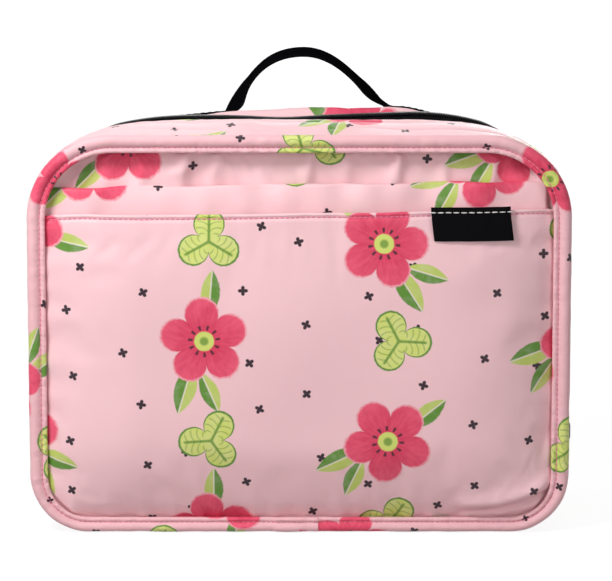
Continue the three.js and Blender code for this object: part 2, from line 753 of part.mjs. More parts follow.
// The sleeve is sewn to the lining at its sides and base and stands over the pack.
function sleeve() {
  const wide = PACK_WIDTH / 2 + FIT + SLEEVE_EASE;
  const rise = PACK_THICKNESS + FIT;
  const bottom = packBase - SLEEVE_EASE;
  const middle = spread(SLEEVE_WALL - wide, wide - SLEEVE_WALL, 8);
  const columns = [-wide - SLEEVE_BORDER, -wide, ...middle, wide, wide + SLEEVE_BORDER];
  const rows = [bottom - SLEEVE_BORDER + 1, bottom,
    ...spread(bottom + SLEEVE_WALL, SLEEVE_TOP, 2)];
  const sections = rows.map((z) => {
    const points = columns.map((x) => {
      const side = smoothstep(wide - Math.abs(x), 0, SLEEVE_WALL);
      const base = smoothstep(z, bottom, bottom + SLEEVE_WALL);
      return new THREE.Vector3(x, backFloor - FIT - rise * side * base, z);
    });
    const inner = points.map((p) => p.clone().setY(p.y - NET));
    return [...points, ...inner.reverse()];
  });
  return skin(sections);
}

// Assembly

const part = new THREE.Group();
part.name = "insulated_case";

function add(parent, name, geometry, look) {
  geometry.computeVertexNormals();
  const mesh = new THREE.Mesh(geometry, new THREE.MeshStandardMaterial(look));
  mesh.name = name;
  parent.add(mesh);
  return mesh;
}

const back = new THREE.Group();
back.name = "back_half";
part.add(back);
const backFace = (x, z) => BACK_FACE + BACK_CROWN * pillow(x, z, false);
add(back, "back_panel", settled(panel({
  inset: PANEL_INSET, top: CASE_HEIGHT - PANEL_INSET, side: 1, thickness: FABRIC, face: backFace,
})), PRINT);
add(back, "back_panel_foam", settled(sheet(FOAM_INSET, 1, BACK_FACE - LAYER, FOAM)), FOAMED);
add(back, "back_gusset", settled(handleGusset(), true), PRINT);
add(back, "back_base_gusset", gusset(baseRun, 1, HINGE_EDGE), PRINT);
add(back, "back_gusset_foam", settled(gussetFoam(1, BACK_FACE)), FOAMED);
add(back, "back_lining", settled(lining(1, BACK_FACE)), SILVER);
add(back, "back_binding", settled(binding(1, false)), PRINT);
add(back, "back_zip_tape", settled(tape(1)), BLACK);
add(back, "back_zip_chain", settled(chain(1)), COIL);
add(back, "hinge_strip", hingeStrip(), PRINT);
add(back, "cold_pack_sleeve", sleeve(), MESH);
add(back, "cold_pack", coldPack(), GEL);

const front = new THREE.Group();
front.name = "front_half";
part.add(front);
add(front, "front_panel", sheet(PANEL_INSET, -1, FRONT_FACE, FABRIC), PRINT);
add(front, "front_panel_foam", settled(sheet(FOAM_INSET, -1, FRONT_FACE - LAYER, FOAM)), FOAMED);
add(front, "front_gusset", settled(gusset(zipRun, -1, ZIP_EDGE)), PRINT);
add(front, "front_base_gusset", gusset(baseRun, -1, HINGE_EDGE), PRINT);
add(front, "front_gusset_foam", settled(gussetFoam(-1, FRONT_FACE)), FOAMED);
add(front, "front_lining", settled(lining(-1, FRONT_FACE)), SILVER);
add(front, "front_binding", binding(-1, true), PRINT);
add(front, "front_zip_tape", settled(tape(-1)), BLACK);
add(front, "front_zip_chain", settled(chain(-1)), COIL);
add(front, "tall_pocket", tallPocket(), PRINT);
add(front, "short_pocket", shortPocket(), PRINT);
add(front, "woven_tab", wovenTab(), BLACK);

const handle = new THREE.Group();
handle.name = "handle";
part.add(handle);
const seam = FIT / handleLength;
add(handle, "handle_left_foot", webbing(0, loopStart - seam, 12), BLACK);
add(handle, "handle_loop", webbing(loopStart, loopEnd, 12), BLACK);
add(handle, "handle_right_foot", webbing(loopEnd + seam, 1, 12), BLACK);

const runner = new THREE.Group();
runner.name = "zip_runner";
runner.position.set(sliderX, 0, sliderRest);
part.add(runner);
add(runner, "zip_slider", slider(), NICKEL);
const tag = add(runner, "zip_pull", pull(), NICKEL);
tag.position.x = pinX;

export default part;
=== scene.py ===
"""Looks of a soft insulated case that zips open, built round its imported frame.

The shape functions work in millimetres in the frame's axes: +Z is up and the front faces -Y.
Meshes are made in metres.
"""

import math

import bmesh
import bpy
import numpy as np
from bpy.props import FloatProperty, FloatVectorProperty, PointerProperty
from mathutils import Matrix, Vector
from mathutils.bvhtree import BVHTree


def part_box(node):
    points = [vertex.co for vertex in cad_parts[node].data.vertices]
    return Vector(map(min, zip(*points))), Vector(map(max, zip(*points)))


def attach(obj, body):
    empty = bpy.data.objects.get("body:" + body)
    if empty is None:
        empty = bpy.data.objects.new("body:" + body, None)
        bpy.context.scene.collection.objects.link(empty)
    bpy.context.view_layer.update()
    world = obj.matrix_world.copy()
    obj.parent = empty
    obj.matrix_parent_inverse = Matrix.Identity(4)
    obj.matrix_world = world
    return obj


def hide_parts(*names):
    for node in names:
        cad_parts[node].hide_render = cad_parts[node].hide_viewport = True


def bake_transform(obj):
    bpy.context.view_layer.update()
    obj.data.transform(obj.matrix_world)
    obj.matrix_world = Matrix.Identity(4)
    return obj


bl_info = {
    "name": "Insulated zip case",
    "version": (1, 0, 0),
    "blender": (4, 5, 0),
    "location": "3D View > Sidebar > Case",
    "description": "Builds the cloth, zip, handle and lining of a soft insulated case",
    "category": "Object",
}

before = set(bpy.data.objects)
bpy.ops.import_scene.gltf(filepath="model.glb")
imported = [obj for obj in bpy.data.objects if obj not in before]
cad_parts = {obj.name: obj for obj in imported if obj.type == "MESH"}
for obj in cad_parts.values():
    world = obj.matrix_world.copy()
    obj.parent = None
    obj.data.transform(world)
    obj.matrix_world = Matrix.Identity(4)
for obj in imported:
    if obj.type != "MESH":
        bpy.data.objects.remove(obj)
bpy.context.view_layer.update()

# Sizes of the frame, in millimetres
MM = 0.001
BOUND_LOW, BOUND_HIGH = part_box("front_binding")
WIDTH = (BOUND_HIGH.x - BOUND_LOW.x) / MM
HEIGHT = BOUND_HIGH.z / MM
TOP_CORNER, BASE_CORNER = 40, 28
RIM = 5  # the bound edge stands this far out past the side wall's seam
TOP_LIFT = 2  # the padded top rises this far above the bound edge
SIDE_SINK = 2  # the sides stay this far inside the bound edge at the zip
CROWN_WIDTH, CROWN_HEIGHT = 76, 36  # rounder top corners at the zip and behind it
BACK_SAG = 5.5  # the top edge of the back lies this much lower
SETTLE_FROM = 110  # the walls settle above this height
SEAM = 37.5  # distance of the seams from the plane of the zip
HALVES = (("front", -1), ("back", 1))  # the shells, and the side of the zip each lies on

# Panels and pockets: how far their faces lie from the plane of the zip, and their edges
FRONT_FACE, TALL_FACE, SHORT_FACE = 35.1, 36.3, 37.5
BACK_CROWN = 3  # the padded back swells this far
POCKET_SPACE = 5  # each pocket stands this far off what lies behind it
POCKET_BELLY = 3.2  # the short pocket's cloth bulges this far past its hem
END_CREASE = 115.4  # the tall pocket's right end is drawn in from here
TALL_LEAN = 3.2  # the tall pocket's edge leans back this far
PILLOW_REACH, BASE_REACH = 45, 40  # cloth is at its full height this far from its seams
PANEL_INSET = 6.2  # the panels' edges lie this far inside the bound edge
PANEL_HALF = WIDTH / 2 - PANEL_INSET
BINDING_WIDTH = 8.6
BASE_LIP = 1.5  # the bound edge shows this much less along the base
TALL_TOP, SHORT_TOP = 165.5, 154.5
HEM_DIP = 2.5  # the short pocket's edge falls this far at its ends
HEM_STITCH = 2.2  # the hem's stitches lie this far below its edge
HEM_TURN, TALL_TURN = 0.95, 1.8  # radius of the cloth turned over at each pocket's edge
POCKET_SLOPE = 3  # the pockets' edges rise this far from left to right
PANEL_CLOTH, WALL_CLOTH, POCKET_CLOTH, LINING_CLOTH = 0.9, 0.7, 0.6, 0.6  # thicknesses
PANEL_COLUMNS = 120
EDGE_FINE = 0.35  # how much closer a panel's columns lie at its sides

# Zip, hinge strip, and the lapped end of the front binding
ZIP_END = 32  # height at which the zip stops
ZIP_EDGE, HINGE_EDGE = 7, 4.3  # the side walls' edges lie this far from the plane of the zip
TAPE_DEPTH, COIL_DEPTH = 1.2, 1.45  # how deep both lie under the side wall's face
COIL_MIDDLE, COIL_REACH, COIL_HEIGHT, COIL_SLANT = 1.05, 4.6, 2.1, 0.34
COIL_RISE = 1.5  # the coil stands this much higher over the top
SLIDER_ROOM = 9  # the coil starts this far past the zip's lower end
LAP_START, LAP_END, LAP_STEP, LAP_EDGE = -12, 9, 0.7, 0.5

# Handle
HANDLE_PULL, LEFT_PULL, RIGHT_PULL, BACK_PULL = 4, 33, 28, 14.5  # it lifts the cloth it is sewn to
HANDLE_Y, WEB_WIDTH, WEB, FREE_HEIGHT, HANDLE_RISE = 24, 25, 1.4, 15, 31.0
HANDLE_GAP = 0.3  # the webbing lies this far over the cloth
LEFT_ROOT, RIGHT_ROOT = -35, 45  # where the handle's legs leave the top
LEFT_TWIST, RIGHT_TWIST = 0.32, 0.22  # turn of the handle's legs towards the front

# Woven tab, cold pack and its sleeve
TAB_X, TAB_WIDTH, TAB_HEIGHT, TAB_TOP = 79.5, 37, 15.5, 157
TAB_FOLD = 0.6  # radius of the tab's folded end
PACK_WIDTH, PACK_HEIGHT, PACK_THICK = 150, 112, 12
PACK_BASE, PACK_BACK, LINING_FLOOR = 21.2, 31.0, 31.3
SLEEVE_TOP, SLEEVE_BORDER = 96, 7

CLOTH_FRAMES = 20  # length of the cloth simulation


def srgb(red, green, blue):
    """A display colour from 0 to 255 as the linear colour that materials take."""
    shares = [c / 255 for c in (red, green, blue)]
    return tuple(c / 12.92 if c < 0.04045 else ((c + 0.055) / 1.055) ** 2.4 for c in shares)


# Properties


def length(name, description, default):
    return FloatProperty(name=name, description=description, default=default, min=0.0,
                         precision=5, unit="LENGTH")


def colour(name, description, *display):
    return FloatVectorProperty(name=name, description=description, default=srgb(*display),
                               min=0.0, max=1.0, subtype="COLOR")


class CaseSizes(bpy.types.PropertyGroup):
    """Sizes of the sewn detail."""

    stitch_pitch: length("Stitch pitch", "Distance from one stitch to the next", 0.0024)
    stitch_length: length("Stitch length", "Length of one stitch", 0.00205)
    stitch_thickness: length("Thread", "Thickness of the sewing thread", 0.00062)
    coil_pitch: length("Coil pitch", "Distance between the zip coil's turns", 0.0011)
    gather_depth: length("Gathers", "Depth of the folds at the sewn edges", 0.0013)
    print_cell: length("Print repeat", "Width of one repeat of the flower print", 0.088)
    net_cell: length("Net cell", "Width of a cell in the sleeve's net", 0.0026)


class CaseColours(bpy.types.PropertyGroup):
    """Colours of the cloth, print and trim."""

    cloth: colour("Cloth", "Ground of the printed cloth", 241, 198, 203)
    blossom: colour("Blossom", "Petals in the print", 232, 88, 116)
    blossom_deep: colour("Blossom shade", "Shaded part of the petals", 208, 52, 86)
    leaf: colour("Leaf", "Dark leaves and outlines in the print", 84, 138, 46)
    lime: colour("Lime", "Pale leaves in the print", 205, 217, 112)
    # The bound edges' ground is a deeper copy of the cloth's colour: painted shade on the rolled edge.
    binding: colour("Binding in painted shade", "Ground of the cloth cut for the bound edges", 234, 184, 190)
    floret: colour("Floret", "Small dark florets in the print", 24, 26, 34)
    thread: colour("Thread", "Sewing thread", 234, 132, 160)
    tab_thread: colour("Tab thread", "Thread along the woven tab", 236, 230, 226)
    black: colour("Black trim", "Webbing, zip and tab", 9, 9, 11)
    lining: colour("Lining", "Insulating film inside", 196, 200, 204)
    pack: colour("Cold pack", "Gel pouch", 170, 205, 226)
    net: colour("Net", "Sleeve of the cold pack", 226, 226, 228)


# Outline and walls


def rim_table():
    """Distance, place and outward angle along the bound edge, from the middle of the base."""
    half = WIDTH / 2
    turns = [
        (half - BASE_CORNER, BASE_CORNER, BASE_CORNER, -90),
        (half - TOP_CORNER, HEIGHT - TOP_CORNER, TOP_CORNER, 0),
        (TOP_CORNER - half, HEIGHT - TOP_CORNER, TOP_CORNER, 90),
        (BASE_CORNER - half, BASE_CORNER, BASE_CORNER, 180),
    ]
    rows = [(0.0, 0.0, math.radians(-90))]
    for x, z, radius, start in turns:
        for angle in np.radians(np.linspace(start, start + 90, 46)):
            rows.append((x + radius * math.cos(angle), z + radius * math.sin(angle), angle))
    rows.append((0.0, 0.0, math.radians(270)))
    x, z, angle = np.array(rows).T
    reach = np.concatenate([[0], np.cumsum(np.hypot(np.diff(x), np.diff(z)))])
    return reach, x, z, angle


RIM_REACH, RIM_X, RIM_Z, RIM_ANGLE = rim_table()
RIM_LENGTH = RIM_REACH[-1]
ZIP_START = WIDTH / 2 - BASE_CORNER + BASE_CORNER * math.pi / 2 + ZIP_END - BASE_CORNER
ZIP_STOP = RIM_LENGTH - ZIP_START


def rim(s):
    """Place and outward direction at distances s along the bound edge."""
    s = np.mod(s, RIM_LENGTH)
    angle = np.interp(s, RIM_REACH, RIM_ANGLE)
    x, z = np.interp(s, RIM_REACH, RIM_X), np.interp(s, RIM_REACH, RIM_Z)
    return x, z, np.cos(angle), np.sin(angle)


def smooth(t):
    """0 below 0 and 1 above 1, with an even slope between."""
    t = np.clip(t, 0, 1)
    return t * t * (3 - 2 * t)


def corner_fall(x, width, height):
    """How far an outline with rounded top corners of these half axes has fallen at x."""
    run = np.maximum(0, np.abs(x) - WIDTH / 2 + width) / width
    return height * (1 - np.sqrt(np.maximum(0, 1 - run**2)))


def settle(x, y, z):
    """How far the soft top settles, at its corners and towards the back."""
    rounder = corner_fall(x, CROWN_WIDTH, CROWN_HEIGHT) - corner_fall(x, TOP_CORNER, TOP_CORNER)
    behind = np.clip(1 + y / SEAM, 0, 1)
    fall = np.maximum(0, rounder) * behind + BACK_SAG * np.maximum(0, y / SEAM)
    return fall * smooth((z - SETTLE_FROM) / (HEIGHT - SETTLE_FROM))


def pull_up(x, y):
    """How far the handle lifts the cloth behind the zip."""
    left = smooth((x - LEFT_ROOT + LEFT_PULL) / 70)
    right = 1 - smooth((x - RIGHT_ROOT) / RIGHT_PULL)
    near = smooth((y - ZIP_EDGE) / (HANDLE_Y - WEB_WIDTH / 2 - ZIP_EDGE))
    far = 1 - smooth((y - SEAM + BACK_PULL) / BACK_PULL)
    dip = 0.6 * groove(x + 60, 18)
    return (HANDLE_PULL * left * right - dip) * near * far


def settled(points):
    """Points let down onto the soft top, in place."""
    points[..., 2] -= settle(points[..., 0], points[..., 1], points[..., 2])
    return points


def offset(s, y, out):
    """Points at a distance out from the bound edge and at y, as the soft case stands."""
    s, y, out = np.broadcast_arrays(s, y, out)
    x, z, out_x, out_z = rim(s)
    return settled(np.stack([x + out_x * out, y, z + out_z * out], -1))


def swell(s, y):
    """How far the side wall's outer face stands over the bound edge."""
    out_x, out_z = rim(s)[2:]
    rise = RIM + TOP_LIFT * np.maximum(0, out_z) ** 2 - SIDE_SINK * out_x**2
    return rise * (1 - (y / SEAM) ** 2) - RIM


def ripples(x, y, seed, wavelength):
    """Smooth relief from about -1 to 1, with waves of about that length."""
    random = np.random.default_rng(seed)
    total = 0
    for _ in range(14):
        turn, phase = random.uniform(0, 2 * math.pi, 2)
        k = 2 * math.pi / wavelength * random.uniform(0.65, 1.5)
        total = total + np.sin(k * (x * math.cos(turn) + y * math.sin(turn)) + phase)
    return total / 4.5


def gathers(t, seed, spacing, width=0.3):
    """Single folds across a line, each with its own height and width."""
    random = np.random.default_rng(seed)
    first, last = float(np.min(t)) - spacing, float(np.max(t)) + spacing
    total = np.zeros_like(t, dtype=float)
    at = first
    while at < last:
        at += spacing * random.uniform(0.6, 1.4)
        reach = spacing * width * random.uniform(0.6, 1.3)
        total += random.uniform(0.35, 1.0) * np.exp(-(((t - at) / reach) ** 2))
    return total


def groove(distance, width):
    """1 on a line, and less with the distance from it."""
    return np.exp(-((distance / width) ** 2))


# Panels


def half_width(z, inset):
    """Half the width of the bound outline at a height, less an inset."""
    at_base = z < HEIGHT / 2
    radius = np.where(at_base, BASE_CORNER, TOP_CORNER)
    rise = np.maximum(0, np.where(at_base, radius - z, z - (HEIGHT - radius)))
    return WIDTH / 2 - radius + np.sqrt(np.maximum(0, (radius - inset) ** 2 - rise**2))


def to_seam(x, z, inset, is_open):
    """Distance from the nearest sewn edge. An open panel has none along its top."""
    side = WIDTH / 2 - inset - np.abs(x)
    base = z - inset + BASE_LIP
    top = np.full_like(base, 1e6) if is_open else HEIGHT - inset - z
    end = np.minimum(base, top)
    radius = np.where(base < top, BASE_CORNER, TOP_CORNER) - inset
    in_corner = (side < radius) & (end < radius)
    return np.where(in_corner, radius - np.hypot(radius - side, radius - end),
                    np.minimum(side, end))


def dome(t):
    """A rounded rise from 0 to 1."""
    return 1 - (1 - np.clip(t, 0, 1)) ** 2


def pillow(x, z):
    """Height from 0 to 1 of the sewn back over the inner edge of its binding."""
    return dome(to_seam(x, z, BINDING_WIDTH + 0.3, False) / PILLOW_REACH)


def pocket_fill(x, z):
    """Height from 0 to 1 of a slack pocket over its seams, fullest low down."""
    side = WIDTH / 2 - BINDING_WIDTH - np.abs(x)
    base = z - BINDING_WIDTH + BASE_LIP
    corner = to_seam(x, z, BINDING_WIDTH, True)
    return dome(side / PILLOW_REACH) * dome(base / BASE_REACH) * dome(corner / 8)


def seam_rise(x, z, is_open):
    """From 0 under the binding's lip to 1 beside it, where the cloth bulges up to the lip."""
    return 1 - np.exp(-np.maximum(0, to_seam(x, z, BINDING_WIDTH - 0.3, is_open)) / 1.3)


def row_heights(top, step, fine=()):
    """Heights of a panel's rows, close in the rounded corners. Open at a top below the edge."""
    arc = np.radians(np.linspace(0, 90, 15))
    low = BASE_CORNER - (BASE_CORNER - PANEL_INSET) * np.cos(arc)
    if top < HEIGHT - PANEL_INSET:
        end = top - (fine[0] if len(fine) else 0)
        middle = np.linspace(low[-1], end, int((end - low[-1]) / step))
        return np.concatenate([low, middle[1:], [top - f for f in fine[1:]]])
    high = HEIGHT - TOP_CORNER + (TOP_CORNER - PANEL_INSET) * np.sin(arc)
    middle = np.linspace(low[-1], high[0], int((high[0] - low[-1]) / step))
    return np.concatenate([low, middle[1:-1], high])


def panel_places(heights, columns, edge=None):
    """x and z of a panel's grid, with its top edge raised or lowered by edge(u) across it."""
    rows, even = heights[:, None], np.linspace(-1, 1, columns + 1)[None, :]
    u = even * (1 + EDGE_FINE) - EDGE_FINE * even**3
    share = ((rows - PANEL_INSET) / (heights[-1] - PANEL_INSET)) ** 2
    z = rows + share * (edge(u) if edge else 0 * u)
    return u * half_width(z, PANEL_INSET), z


def seam_gathers(x, z, seed, depth, is_open):
    """Small folds that run in from the sewn edges, more of them along the base."""
    gap = np.maximum(0, to_seam(x, z, BINDING_WIDTH - 0.6, is_open))
    side = WIDTH / 2 - BINDING_WIDTH - np.abs(x)
    base = z - BINDING_WIDTH
    at_base = smooth((side - base + 14) / 28)
    along_base = 2.4 * (gathers(x, seed, 13, 0.2) - 0.3) * np.exp(-gap / 5)
    along_sides = 0.9 * gathers(z, seed + 1, 17) * np.exp(-gap / 8)
    return depth * (along_base * at_base + along_sides * (1 - at_base)) * smooth(gap / 2.5 + 0.35)


# Meshes


def placed(name, data):
    """A new object at the origin with this data, in the scene."""
    piece = bpy.data.objects.new(name, data)
    bpy.context.scene.collection.objects.link(piece)
    return piece


def reach_along(points):
    """Distance of each point along a line from its first."""
    return np.concatenate([[0], np.cumsum(np.linalg.norm(np.diff(points, axis=0), axis=1))])


def one_more(grid):
    """A grid with its last row and column repeated, as the UVs of a mesh need."""
    return np.pad(grid, ((0, 1), (0, 1)), "edge")


def mesh_piece(name, points, uv=None, wrap=(False, False), flip=False, caps=False):
    """A mesh through a grid of points, with its lengths along the cloth as UVs."""
    rows, columns = points.shape[:2]
    row = np.arange(rows if wrap[0] else rows - 1)[:, None]
    column = np.arange(columns if wrap[1] else columns - 1)[None, :]
    steps = [(0, 0), (0, 1), (1, 1), (1, 0)] if flip else [(0, 0), (1, 0), (1, 1), (0, 1)]
    faces = np.stack([(row + a) % rows * columns + (column + b) % columns for a, b in steps], -1)
    faces = faces.reshape(-1, 4).tolist()
    if caps:
        ends = [list(range(columns)), list(range((rows - 1) * columns, rows * columns))]
        ends[1 if flip else 0].reverse()
        faces += [ends[0][::-1], ends[1][::-1]]
    mesh = bpy.data.meshes.new(name)
    mesh.from_pydata((points.reshape(-1, 3) * MM).tolist(), [], faces)
    if uv is not None:
        u, v = (np.broadcast_to(a, (rows + 1, columns + 1)) for a in uv)
        corners = [np.stack([u[row + a, column + b], v[row + a, column + b]], -1) for a, b in steps]
        flat = np.stack(corners, -2).reshape(-1, 2)
        rest = len(mesh.loops) - len(flat)
        flat = np.concatenate([flat, np.zeros((rest, 2))]) * MM
        mesh.uv_layers.new(name="UVMap").data.foreach_set("uv", flat.ravel())
    mesh.shade_smooth()
    return placed(name, mesh)


def lengths(points, axis):
    """Distance along a grid of points, averaged over the other way, with one more step."""
    steps = np.linalg.norm(np.diff(points, axis=axis), axis=-1).mean(axis=1 - axis)
    reach = np.concatenate([[0], np.cumsum(steps)])
    return np.append(reach, 2 * reach[-1] - reach[-2])


def thicken(piece, thickness, side=-1.0, even=True):
    """Gives cloth its thickness, on one side of its face."""
    wall = piece.modifiers.new("Cloth thickness", "SOLIDIFY")
    wall.thickness, wall.offset = thickness * MM, side
    wall.use_even_offset = even


def refine(piece):
    """Rounds a piece's faces off by one subdivision."""
    finer = piece.modifiers.new("Soft surface", "SUBSURF")
    finer.levels = finer.render_levels = 1


def dress(piece, material, body, slot, *nodes):
    """Gives a piece its material, and lets it stand for CAD nodes on a body. The slot is not used."""
    if not piece.data.materials:
        piece.data.materials.append(material)
    if body:
        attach(piece, body)
    if nodes:
        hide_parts(*nodes)


def laid_on(piece, points, lift=0.0):
    """Points moved backwards onto a piece's finished surface, in millimetres."""
    tree = BVHTree.FromObject(piece, bpy.context.evaluated_depsgraph_get())
    way = Vector((0, 1, 0))
    found = []
    for p in points:
        start = Vector(p) * MM - way * 0.03
        hit = tree.ray_cast(start, way, 0.08)[0]
        place = hit if hit else Vector(p) * MM
        found.append(np.array(place - way * lift * MM) / MM)
    return np.array(found)


# Cloth simulation


def relaxed(points, held, pressure, slack, reach):
    """A grid of cloth as it puffs and wrinkles between its seams, moved no further than reach."""
    scene = bpy.context.scene
    trial = mesh_piece("cloth_trial", points, flip=points[0, 0, 1] < 0)
    sewn_down = trial.vertex_groups.new(name="Held")
    for i, weight in enumerate(held.ravel().tolist()):
        if weight > 0:
            sewn_down.add([i], weight, "REPLACE")
    cloth = trial.modifiers.new("Cloth", "CLOTH")
    cloth.collision_settings.use_collision = False
    cloth.point_cache.frame_start, cloth.point_cache.frame_end = 1, CLOTH_FRAMES
    settings = cloth.settings
    settings.quality, settings.mass = 6, 0.3
    settings.tension_stiffness = settings.compression_stiffness = 15
    settings.shear_stiffness, settings.bending_stiffness = 5, 0.15
    settings.vertex_group_mass = "Held"
    settings.use_pressure, settings.uniform_pressure_force = True, pressure
    settings.shrink_min = -slack
    settings.effector_weights.gravity = 0
    for step in range(1, CLOTH_FRAMES + 1):
        scene.frame_set(step)
    moved = trial.evaluated_get(bpy.context.evaluated_depsgraph_get()).data
    places = np.empty(len(moved.vertices) * 3)
    moved.vertices.foreach_get("co", places)
    bpy.data.objects.remove(trial)
    scene.frame_set(1)
    shift = places.reshape(points.shape) / MM - points
    far = np.linalg.norm(shift, axis=-1, keepdims=True) + 1e-6
    return points + shift * np.tanh(far / reach) * reach / far


def held_cloth(x, z, hem=None):
    """1 where a panel is sewn under its binding or along its hem, and 0 where it is free."""
    weight = 1.0 * (to_seam(x, z, BINDING_WIDTH - 0.3, hem is not None) <= 0)
    return weight if hem is None else np.maximum(weight, 1 - smooth((hem - z - 5) / 6))


# Shader nodes


class Tree:
    """Short ways to add nodes to a tree and to wire them."""

    def __init__(self, tree):
        self.tree = tree

    def put(self, socket, value):
        if isinstance(value, Number):
            value = value.socket
        if isinstance(value, bpy.types.NodeSocket):
            self.tree.links.new(value, socket)
        else:
            socket.default_value = value

    def add(self, kind, inputs=(), **settings):
        node = self.tree.nodes.new(kind)
        for key, value in settings.items():
            setattr(node, key, value)
        for key, value in dict(inputs).items():
            self.put(node.inputs[key], value)
        return node

    def number(self, socket):
        return Number(self, socket)

    def split(self, vector):
        node = self.add("ShaderNodeSeparateXYZ", {0: vector})
        return [self.number(socket) for socket in node.outputs]

    def vector(self, x, y, z=0.0):
        return self.add("ShaderNodeCombineXYZ", {0: x, 1: y, 2: z}).outputs[0]

    def noise(self, vector, scale, detail=2.0, roughness=0.5):
        node = self.add("ShaderNodeTexNoise", {
            "Vector": vector, "Scale": scale, "Detail": detail, "Roughness": roughness})
        return self.number(node.outputs[0])

    def mix(self, share, first, second):
        node = self.add("ShaderNodeMix", {0: share, 6: first, 7: second}, data_type="RGBA")
        return node.outputs[2]


class Number:
    """A number on a node tree that takes plain arithmetic."""

    def __init__(self, tree, socket):
        self.tree, self.socket = tree, socket

    def math(self, operation, *others, clamp=False):
        inputs = dict(enumerate((self, *others)))
        node = self.tree.add("ShaderNodeMath", inputs, operation=operation, use_clamp=clamp)
        return Number(self.tree, node.outputs[0])

    def __add__(self, other):
        return self.math("ADD", other)

    def __sub__(self, other):
        return self.math("SUBTRACT", other)

    def __mul__(self, other):
        return self.math("MULTIPLY", other)

    def __truediv__(self, other):
        return self.math("DIVIDE", other)

    def __pow__(self, other):
        return self.math("POWER", other)

    def __abs__(self):
        return self.math("ABSOLUTE")

    __radd__, __rmul__ = __add__, __mul__

    def __rsub__(self, other):
        return (self * -1.0) + other

    def floor(self):
        return self.math("FLOOR")

    def sin(self):
        return self.math("SINE")

    def cos(self):
        return self.math("COSINE")

    def inside(self, blur):
        """1 where the number is above zero, with an edge of that width."""
        return self.math("MULTIPLY_ADD", 1.0 / blur, 0.5, clamp=True)


def group(name, kind, inputs, outputs):
    """A new node group with named sockets: (name, socket type, default)."""
    tree = bpy.data.node_groups.new(name, kind)
    for label, socket_type, default in inputs:
        socket = tree.interface.new_socket(label, in_out="INPUT", socket_type=socket_type)
        if default is not None:
            socket.default_value = default
    for label, socket_type in outputs:
        tree.interface.new_socket(label, in_out="OUTPUT", socket_type=socket_type)
    return tree


FLOAT, VECTOR, COLOUR = "NodeSocketFloat", "NodeSocketVector", "NodeSocketColor"
GEOMETRY, MATERIAL = "NodeSocketGeometry", "NodeSocketMaterial"


def lattice(t, x, y, width, height, shift, jitter, seed):
    """Place inside the cell of a half-drop repeat, turned and moved from cell to cell."""
    across = x / width + shift
    column = across.floor()
    down = y / height + column * 0.5
    row = down.floor()
    key = t.vector(column + seed, row + 0.37 * seed)
    random = t.add("ShaderNodeTexWhiteNoise", {"Vector": key}, noise_dimensions="2D")
    turn, move_x, move_y = t.split(random.outputs["Color"])
    local_x = (across - column - 0.5) * width + (move_x - 0.5) * jitter
    local_y = (down - row - 0.5) * height + (move_y - 0.5) * jitter
    turn = turn * 2 * math.pi
    cosine, sine = turn.cos(), turn.sin()
    return local_x * cosine + local_y * sine, local_y * cosine - local_x * sine


def polar(x, y):
    """Distance from the middle of a motif, and angle round it."""
    return (x * x + y * y).math("SQRT"), y.math("ARCTAN2", x)


def leaf_shape(x, y, centre, turn, half_length, breadth):
    """How far inside a pointed leaf a place is, and its place across the leaf."""
    cosine, sine = math.cos(turn), math.sin(turn)
    dx, dy = x - centre[0], y - centre[1]
    along = dx * cosine + dy * sine
    across = dy * cosine - dx * sine
    shape = (1.0 - (along / half_length) ** 2.0) * breadth
    return shape - abs(across), across


def blossom(t, given, x, y, wash, waver, pale):
    """Mask and colour of a flower, with streaked petals and a ring of stamens."""
    radius, angle = polar(x, y)
    lobe = abs((angle * 2.5).cos())
    depth = (lobe ** 0.6) * 8.8 + 12.2 - radius + waver
    streak = t.noise(t.vector(angle * 5.0, radius * 0.09), 1.6, 2.0)
    shade = (1.0 - radius / 21.0) * 0.85 + (streak - 0.5) * 1.1 + (wash - 0.5) * 1.2
    between = (1.0 - lobe * 5.0 + (radius - 6.0) * 0.02).math("MULTIPLY", 0.5, clamp=True)
    stamens = ((angle * 11.0).cos() - 0.55).inside(0.4) * (1.1 - abs(radius - 6.4)).inside(0.4)
    petals = t.mix(shade.math("ADD", 0.12, clamp=True), given["Blossom"], given["Blossom shade"])
    petals = t.mix(between, petals, given["Blossom shade"])
    petals = t.mix((0.9 - depth).inside(0.7) * 0.35, petals, pale)
    petals = t.mix(stamens * 0.9, petals, given["Floret"])
    petals = t.mix((4.6 - radius + waver * 0.4).inside(0.5), petals, given["Lime"])
    petals = t.mix((2.0 - radius).inside(0.9) * 0.8, petals, given["Leaf"])
    return depth.inside(0.5), petals


def trefoil(t, given, x, y, wash, waver, pale):
    """Mask and colour of a leaf of three veined lobes."""
    radius, angle = polar(x, y)
    across = abs((angle * 1.5).sin())
    depth = (abs((angle * 1.5).cos()) ** 0.75) * 10.2 + 5.2 - radius + waver * 0.5
    vein = (0.55 - across * radius * 0.6).inside(0.5) * (depth - 2.6).inside(1.0)
    side_vein = ((radius * 1.9 - across * 9.0).sin() - 0.72).inside(0.3)
    side_vein = side_vein * (depth - 1.8).inside(1.0) * (radius - 4.0).inside(1.0)
    fill = t.mix((wash - 0.35).math("MULTIPLY", 1.6, clamp=True), given["Lime"], pale)
    fill = t.mix(0.72, fill, given["Lime"])
    fill = t.mix(side_vein * 0.45, fill, given["Leaf"])
    fill = t.mix(vein * 0.85, fill, given["Leaf"])
    fill = t.mix((1.0 - depth).inside(0.5), fill, given["Leaf"])
    return depth.inside(0.5), fill


# Leaves round a flower: middle, turn and half length
FLOWER_LEAVES = (((24.0, 4.0), 0.25, 12.5), ((19.5, 14.5), 0.95, 10.5), ((-21.0, -9.0), 3.6, 11.0))


